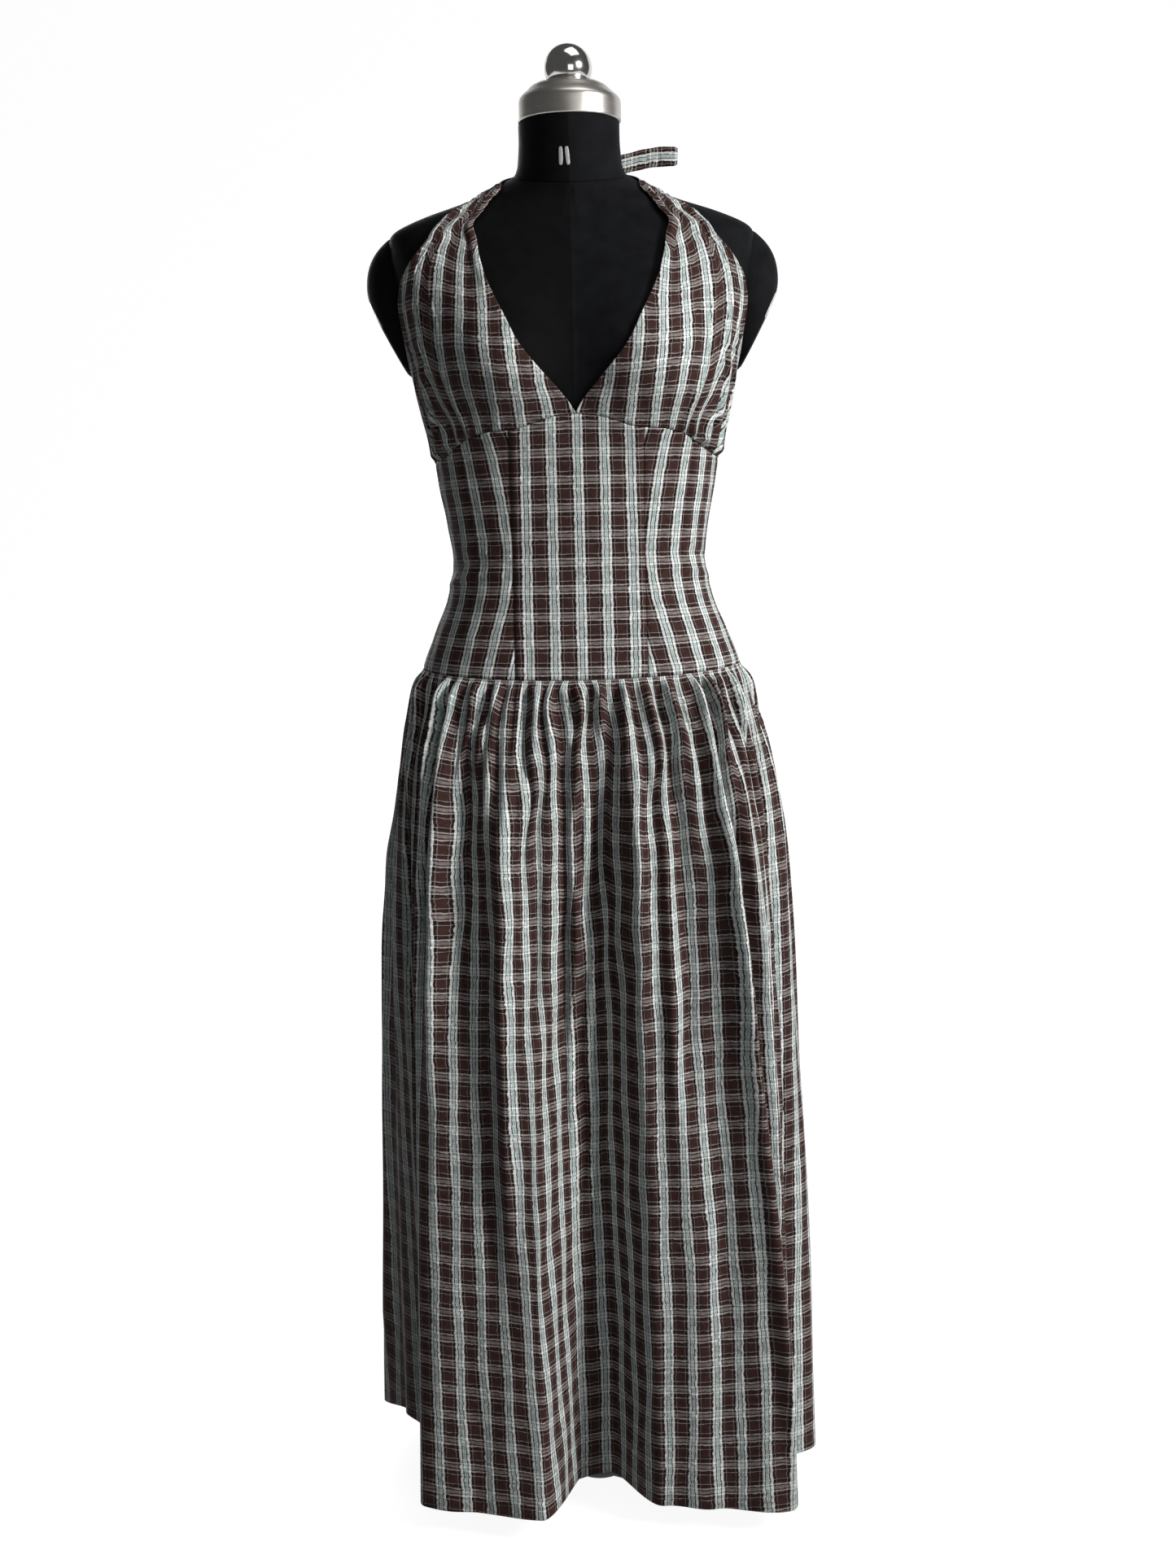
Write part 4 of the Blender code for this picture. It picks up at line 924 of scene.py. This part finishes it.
grooves = [
    # degrees at the seam, degrees at the hem, how deep (m), half width (m), length of fall (m)
    (-83, -80, 0.006, 0.0045, 0.16), (-72, -74, 0.008, 0.0050, 0.30), (-57, -60, 0.006, 0.0042, 0.10),
    (-47, -50, 0.009, 0.0050, 0.26), (-39, -41, 0.006, 0.0040, 0.09), (-30, -29, 0.007, 0.0045, 0.17),
    (-17, -16, 0.007, 0.0042, 0.12), (-8, -7, 0.006, 0.0040, 0.09), (-2, 1, 0.008, 0.0045, 0.16),
    (1.5, -6.5, 0.009, 0.0050, 0.60),
    (9, 5, 0.010, 0.0055, 0.24), (16, 15, 0.006, 0.0040, 0.10), (23, 24, 0.008, 0.0045, 0.20),
    (32, 37, 0.007, 0.0045, 0.13), (40, 50, 0.009, 0.0050, 0.28), (48, 58, 0.008, 0.0045, 0.18),
    (57, 67, 0.008, 0.0050, 0.22), (67, 76, 0.007, 0.0045, 0.14), (79, 84, 0.006, 0.0045, 0.20),
    (97, 96, 0.007, 0.0045, 0.14), (108, 110, 0.008, 0.0050, 0.24), (121, 120, 0.006, 0.0042, 0.10),
    (131, 128, 0.009, 0.0050, 0.22), (146, 149, 0.007, 0.0045, 0.13), (157, 156, 0.008, 0.0045, 0.20),
    (169, 172, 0.006, 0.0042, 0.10), (183, 180, 0.009, 0.0050, 0.25), (194, 195, 0.006, 0.0042, 0.11),
    (207, 204, 0.008, 0.0045, 0.18), (219, 222, 0.007, 0.0045, 0.12), (232, 234, 0.009, 0.0050, 0.24),
    (245, 243, 0.006, 0.0042, 0.12), (257, 259, 0.008, 0.0050, 0.20)]


def hem_fold(angle):
    """How far the long folds stand out at the hem, eased by half a cosine between rows."""
    turned_to = (np.degrees(angle) + 46.0) % 360.0 - 46.0
    low = np.clip(np.searchsorted(hem_folds[:, 0], turned_to, side="right") - 1, 0, len(hem_folds) - 2)
    start, end = hem_folds[low], hem_folds[low + 1]
    share = np.clip((turned_to - start[..., 0]) / (end[..., 0] - start[..., 0]), 0, 1)
    eased = 0.5 - 0.5 * np.cos(math.pi * share)
    return start[..., 1] * (1 - eased) + end[..., 1] * eased


def gather_turns(angle):
    """Turns of the gathering wave: 25 to each half, of uneven width."""
    wave = 50 * angle + 1.3 * np.cos(3 * angle) + 0.9 * np.sin(6 * angle) + 0.8 * np.cos(7 * angle)
    return wave / (2 * math.pi)


def off_line(angle, at_seam, at_hem, drop):
    """How far round a point is from a line that runs between its two places, in radians."""
    line = np.radians(at_seam * (1 - drop) + at_hem * drop)
    return (angle - line + math.pi) % (2 * math.pi) - math.pi


def seam_gathers(turns, sine, fall):
    """How far the gathers stand out: they swell just below the seam and then die away.

    A gather's section is the root of a squared cosine, so crests are round and valleys sharp.
    Smaller gathers lie on them, and at the right side seam the smaller ones take over.
    """
    uneven = 1 + 0.36 * np.sin(2.4 * turns) + 0.26 * np.sin(5.1 * turns + 1.0)
    fade = 0.120 * (1 + 0.42 * np.sin(1.7 * turns + 0.6) + 0.30 * np.sin(4.3 * turns))
    swell = (1 - np.exp(-fall / 0.007)) * np.exp(-fall / fade)
    crest = np.sqrt(np.cos(math.pi * turns + 0.25 * np.sin(fall / 0.03 + 2 * turns))**2 + 0.006)
    at_side = sine**16 * np.exp(-fall / 0.030)
    finer = np.clip(sine, 0, 1)**10
    stand = 0.0155 * swell * (crest - 0.28 - 0.25 * at_side) * uneven * (1 - 0.62 * finer)
    small = np.sqrt(np.cos(2.3 * math.pi * turns + 0.7)**2 + 0.03) * (1 + 0.9 * finer)
    return stand + 0.0040 * (1 - np.exp(-fall / 0.006)) * np.exp(-fall / 0.045) * small


def long_folds(turns, angle, drop, fall, half):
    """How far the hem's folds, the long bell-shaped creases and the narrow grooves stand out."""
    middle_run = np.exp(-((drop - 0.26) / 0.24)**2) * (1 - np.exp(-fall / 0.05))
    stand = 0.0060 * middle_run * np.sin(math.pi * turns + 1.2 * np.sin(0.9 * turns))
    stand = stand + hem_fold(angle) * drop**0.8
    for at_seam, at_hem, reach, wide, start, end in long_creases:
        off = off_line(angle, at_seam, at_hem, drop) * half
        run = np.clip((drop - start) / 0.14, 0, 1) * np.clip((end - drop) / 0.18, 0, 1)
        stand = stand + 1.35 * reach * run**1.5 * np.exp(-(off / wide)**2)
    for at_seam, at_hem, depth, wide, length in grooves:
        off = off_line(angle, at_seam, at_hem, drop) * half
        off = off + 0.004 * np.sin(fall / 0.035 + 2 * at_seam)
        run = (1 - np.exp(-fall / 0.006)) * np.exp(-(fall / length)**2)
        cut = np.exp(-np.abs(off / wide)**1.5) - 0.5 * np.exp(-((np.abs(off) - 2.1 * wide) / wide)**2)
        stand = stand - depth * run * cut
    ripple = np.sin(31 * angle + 9 * drop) * np.sin(17 * drop + 4 * angle) * np.clip(4 * drop, 0, 1)
    return stand + 0.0007 * ripple


def skirt_point(seam_angle, angle, drop):
    """An oval plan that widens to the hem, with the gathers and folds stood out of it.

    Gathers follow the seam's angle and long folds the lower one. The hem hangs higher at the
    left. The cloth keeps 4.5 mm off the form, and at the seam it leaves the bodice's line.
    """
    seam = drop_waist(angle)
    lifted = 0.042 * np.exp(-(1 - np.cos(angle + math.pi / 2)) / 0.088)
    height = seam + (skirt_hem_height + lifted - seam) * drop
    fall = seam - height
    half, front, back = [column_at(skirt_sections, k, height) for k in (1, 2, 3)]
    sine, cosine = np.sin(angle), np.cos(angle)
    depth = np.where(cosine > 0, front, back)
    half = half * (1 - 0.045 * np.clip(-4 * sine, 0, 1) * np.clip(3.5 * drop, 0, 1))
    half = half * (1 - 0.022 * np.clip(4 * sine, 0, 1) * np.exp(-((drop - 0.42) / 0.2)**2))
    plan = np.stack([half * sine * (1 + 0.12 * cosine**2), -depth * cosine * (1 + 0.12 * sine**2),
                     height], axis=-1)
    out = unit(np.stack([depth * sine, -half * cosine, 0 * height], axis=-1))
    turns = gather_turns(seam_angle)
    stand = seam_gathers(turns, sine, fall) + long_folds(turns, angle, drop, fall, half)
    # The form ends at 0.80, and below it the room grows, so the cloth hangs free.
    room = np.sum((plan - body_point(angle, np.maximum(height, 0.80))) * out, axis=-1)
    room = np.where(height > 0.80, room, room + 0.25 * (0.80 - height)) - 0.0045
    stand = 0.5 * (stand - room + np.sqrt((stand + room)**2 + 0.002**2))
    start_at = body_point(angle, seam) + 0.0033 * body_outward(angle, seam)
    join = np.exp(-fall / 0.006)[..., None]
    hanging = plan + out * stand[..., None]
    return hanging * (1 - join) + (start_at + np.array([0, 0, 1]) * (height - seam)[..., None]) * join


def skirt_half(start, end, columns=384, rows=118):
    """Half of the skirt. A line of the cloth keeps its share of both the seam and the hem.

    Between them it sways a little from side to side, in four waves of different length.
    """
    fine = np.linspace(start, end, 6001)
    along_seam = run_along(skirt_point(fine, fine, np.zeros_like(fine))[None], 1)[0]
    along_hem = run_along(skirt_point(fine, fine, np.ones_like(fine))[None], 1)[0]
    hem_length = along_hem[-1]
    share = np.linspace(0.0004, 0.9996, columns)
    seam_angle = np.interp(share, along_seam / along_seam[-1], fine)[None, :]
    hem_angle = np.interp(share, along_hem / hem_length, fine)[None, :]
    drop = (np.linspace(1, 0, rows)**1.55)[:, None]
    blend = drop**0.9
    angle = seam_angle * (1 - blend) + hem_angle * blend
    turns, fall = gather_turns(seam_angle), skirt_fall * drop
    sway = 0.0034 * np.sin(fall / 0.021 + 1.3 * turns + 1.6 * np.sin(0.9 * turns)) * np.exp(-fall / 0.11)
    sway = sway + 0.0030 * np.sin(fall / 0.058 + 0.55 * turns + np.sin(2.1 * turns)) * np.exp(-fall / 0.35)
    sway = sway + 0.0011 * np.sin(fall / 0.0145 + 2.9 * turns) * np.exp(-fall / 0.30)
    sway = sway + 0.0011 * np.sin(fall / 0.10 + 0.35 * turns) + 0.0005 * np.sin(fall / 0.024 + 4.1 * turns)
    free = (1 - np.exp(-fall / 0.012)) * np.clip(np.minimum(share, 1 - share) / 0.03, 0, 1)
    angle = angle + sway * free / 0.19
    seam_angle, angle, drop = np.broadcast_arrays(seam_angle, angle, drop)
    points = skirt_point(seam_angle, angle, drop)
    outward = unit(np.cross(np.gradient(points, axis=1), np.gradient(points, axis=0)))
    points = points + 0.0007 * outward
    # Low on the skirt the gathers' take-up has evened out, so the check runs level again.
    tall = run_along(points[::-1], 0)[::-1]
    near = np.exp(-((share[:, None] - share[None, :]) / 0.030)**2)
    level_run = tall @ (near / near.sum(axis=0, keepdims=True))
    settled = np.clip((skirt_fall * drop - 0.03) / 0.25, 0, 1)
    cloth_down = tall * (1 - settled) + level_run * settled
    flat = np.stack([np.broadcast_to((share - 0.5) * hem_length, drop.shape), -cloth_down], axis=-1)
    return points, flat, hem_length


for name, start, end, stripe_shift in (("front", -math.pi / 2, math.pi / 2, 0.003),
                                       ("back", math.pi / 2, 3 * math.pi / 2, 0.009)):
    points, flat, hem_length = skirt_half(start, end)
    flat = flat + np.array([stripe_shift, 0.0])
    if name == "front":
        # The stripes lie a little closer near the right side seam, so they show on the gathers.
        flat[..., 0] += 0.012 * np.clip((flat[..., 0] / hem_length - 0.28) / 0.12, 0, 1)
    points, flat = points[::-1], flat[::-1]
    stitches("stitch_row_hem_" + name, *line_on(points[::-1], 0.006, 0))
    points, flat = turn_under(points[:, ::-1], flat[:, ::-1], radius=0.0009, width=0.006)
    points, flat = points[::-1][:, ::-1], flat[::-1][:, ::-1]
    cloth("skirt_cloth_" + name, points, flat, seersucker_full, "skirt_" + name)


# Knot and tie ends. The straps are tied at the nape; one flat end stands out to the right
# behind the neck and the other hangs down the back. Each end is folded double and sewn.
turn = np.linspace(0, 2 * math.pi, 120, endpoint=False)[None, :]
polar = np.linspace(0.10, math.pi - 0.10, 90)[:, None]
width = np.sin(polar) * (1 + 0.10 * np.cos(2 * polar))
wrap = np.sin(3 * turn + 4.2 * polar) * np.sin(polar)
off_band = polar - 1.57 - 0.5 * np.sin(turn)
band = np.exp(-(off_band / 0.42)**2)
beside_band = np.exp(-((np.abs(off_band) - 0.62) / 0.12)**2)
lump = 1 + 0.045 * wrap + 0.10 * band - 0.10 * beside_band
knot_points = np.stack([0.0118 * width * lump * np.sin(turn), 0.0697 - 0.0092 * width * lump * np.cos(turn),
                        1.450 - 0.0135 * np.cos(polar) + 0 * turn], axis=-1)
knot_flat = np.stack([0.012 * turn + 0 * polar, 0.014 * polar + 0 * turn], axis=-1)
knot = surface("knot_cloth", knot_points, knot_flat, around=True, caps=True)
dress_piece(knot, seersucker_full, "plaid_cotton", "halter_knot")


def tie_band(name, path, across, solid):
    """A flat band folded double: a thin rounded section carried along a smooth path."""
    path = np.array(path)
    step = np.linspace(0, 1, len(path))
    table = np.column_stack([step, path])
    along_share = np.linspace(0, 1, 90)
    line = np.stack([column_at(table, k, along_share) for k in (1, 2, 3)], axis=-1)
    across = unit(np.array(across, dtype=float))
    forward = unit(np.gradient(line, axis=0))
    outward = unit(np.cross(forward, across))
    turn = np.linspace(0, 2 * math.pi, 44, endpoint=False)
    wide = np.sign(np.cos(turn)) * np.abs(np.cos(turn))**0.35 * 0.011
    thick = np.sign(np.sin(turn)) * np.abs(np.sin(turn))**0.75 * 0.00105
    end = np.clip((1 - along_share) / 0.035, 0, 1)**0.5
    ripple = 0.0006 * np.sin(2 * math.pi * along_share * 5)[:, None] * np.cos(turn)[None, :]
    points = (line[:, None] + (wide[None, :] * (0.78 + 0.22 * end[:, None]))[..., None] * across
              + (thick[None, :] * (0.35 + 0.65 * end[:, None]) + ripple)[..., None] * outward[:, None])
    flat = np.stack([wide[None, :] + np.where(thick[None, :] < 0, 0.05, 0) + 0 * along_share[:, None],
                     run_along(points, 0)], axis=-1)
    made = surface(name, points[:, ::-1], flat[:, ::-1], around=True, caps=True)
    return dress_piece(made, seersucker_full, "plaid_cotton", solid)


right_path = ((0.0105, 0.0760, 1.4570), (0.030, 0.0800, 1.4620), (0.050, 0.0810, 1.4680),
              (0.072, 0.0790, 1.4730), (0.094, 0.0750, 1.4760), (0.118, 0.0700, 1.4755))
tie_band("tie_cloth_right", right_path, (0.05, 0.15, 1.0), "tie_end_right")
down_heights = np.linspace(1.418, 1.300, 7)
down_angle = np.full(7, math.pi + 0.03)
down_path = body_point(down_angle, down_heights) + 0.0024 * body_outward(down_angle, down_heights)
tie_band("tie_cloth_back", down_path, (1.0, 0.0, 0.0), "tie_end_back")


# Stage. A pale floor that runs up into a white backdrop, a strong soft light from the viewer's
# right, weak ones in front and overhead, and one behind that the camera doesn't see.
floor_white, tree, shader = finish_of("floor_white", 0.9)
shader.inputs["Base Color"].default_value = (0.16, 0.16, 0.16, 1)
shader.inputs["Emission Color"].default_value = (1, 1, 1, 1)
shader.inputs["Emission Strength"].default_value = 0.93
sweep = np.linspace(0, 1, 60)
depth = np.where(sweep < 0.5, -3 + 10 * sweep, 2 + 2 * np.sin(math.pi * np.clip(sweep - 0.5, 0, 0.5)))
rise = np.where(sweep < 0.5, 0.0, 5 * (1 - np.cos(math.pi * (sweep - 0.5))))
stage_points = np.stack([np.stack([np.linspace(-6, 6, 3), np.full(3, d), np.full(3, r)], axis=-1)
                         for d, r in zip(depth, rise)])
floor = surface("floor", stage_points)
floor.data.materials.append(floor_white)
floor.visible_diffuse = False


def soft_light(name, place_at, aim, size, power, colour):
    """A square area light that faces its aim."""
    data = bpy.data.lights.new(name, "AREA")
    data.shape = "SQUARE"
    data.size = size
    data.energy = power
    data.color = colour
    made = bpy.data.objects.new(name, data)
    toward = unit(np.array(aim, float) - np.array(place_at, float))
    sideways = unit(np.cross(toward, (0, 0, 1)))
    upright = np.cross(sideways, toward)
    turned_to = Matrix(np.array([sideways, upright, -toward]).T.tolist()).to_4x4()
    made.matrix_world = Matrix.Translation(place_at) @ turned_to
    bpy.context.scene.collection.objects.link(made)
    return made


soft_light("key", (2.5, -1.7, 2.1), (0, 0, 0.95), 0.8, 128, (1.0, 0.99, 0.98))
soft_light("fill", (0.9, -3.2, 1.3), (0, 0, 0.8), 1.4, 11, (0.97, 0.99, 1.0))
soft_light("over", (0.5, -0.4, 3.2), (0, 0, 1.2), 1.2, 12, (1, 1, 1))
behind = soft_light("behind", (-0.9, 3.0, 1.9), (0, 0, 0.9), 1.4, 70, (1, 1, 1))
behind.visible_camera = False
world = bpy.data.worlds.new("white_room")
world.use_nodes = True
background = world.node_tree.nodes["Background"].inputs
background["Color"].default_value = (1, 1, 1, 1)
seen = node(world.node_tree, "ShaderNodeLightPath").outputs["Is Camera Ray"]
world.node_tree.links.new(spread(world.node_tree, seen, 0.085, 0.98), background["Strength"])
bpy.context.scene.world = world
bpy.context.scene.view_settings.view_transform = "Standard"
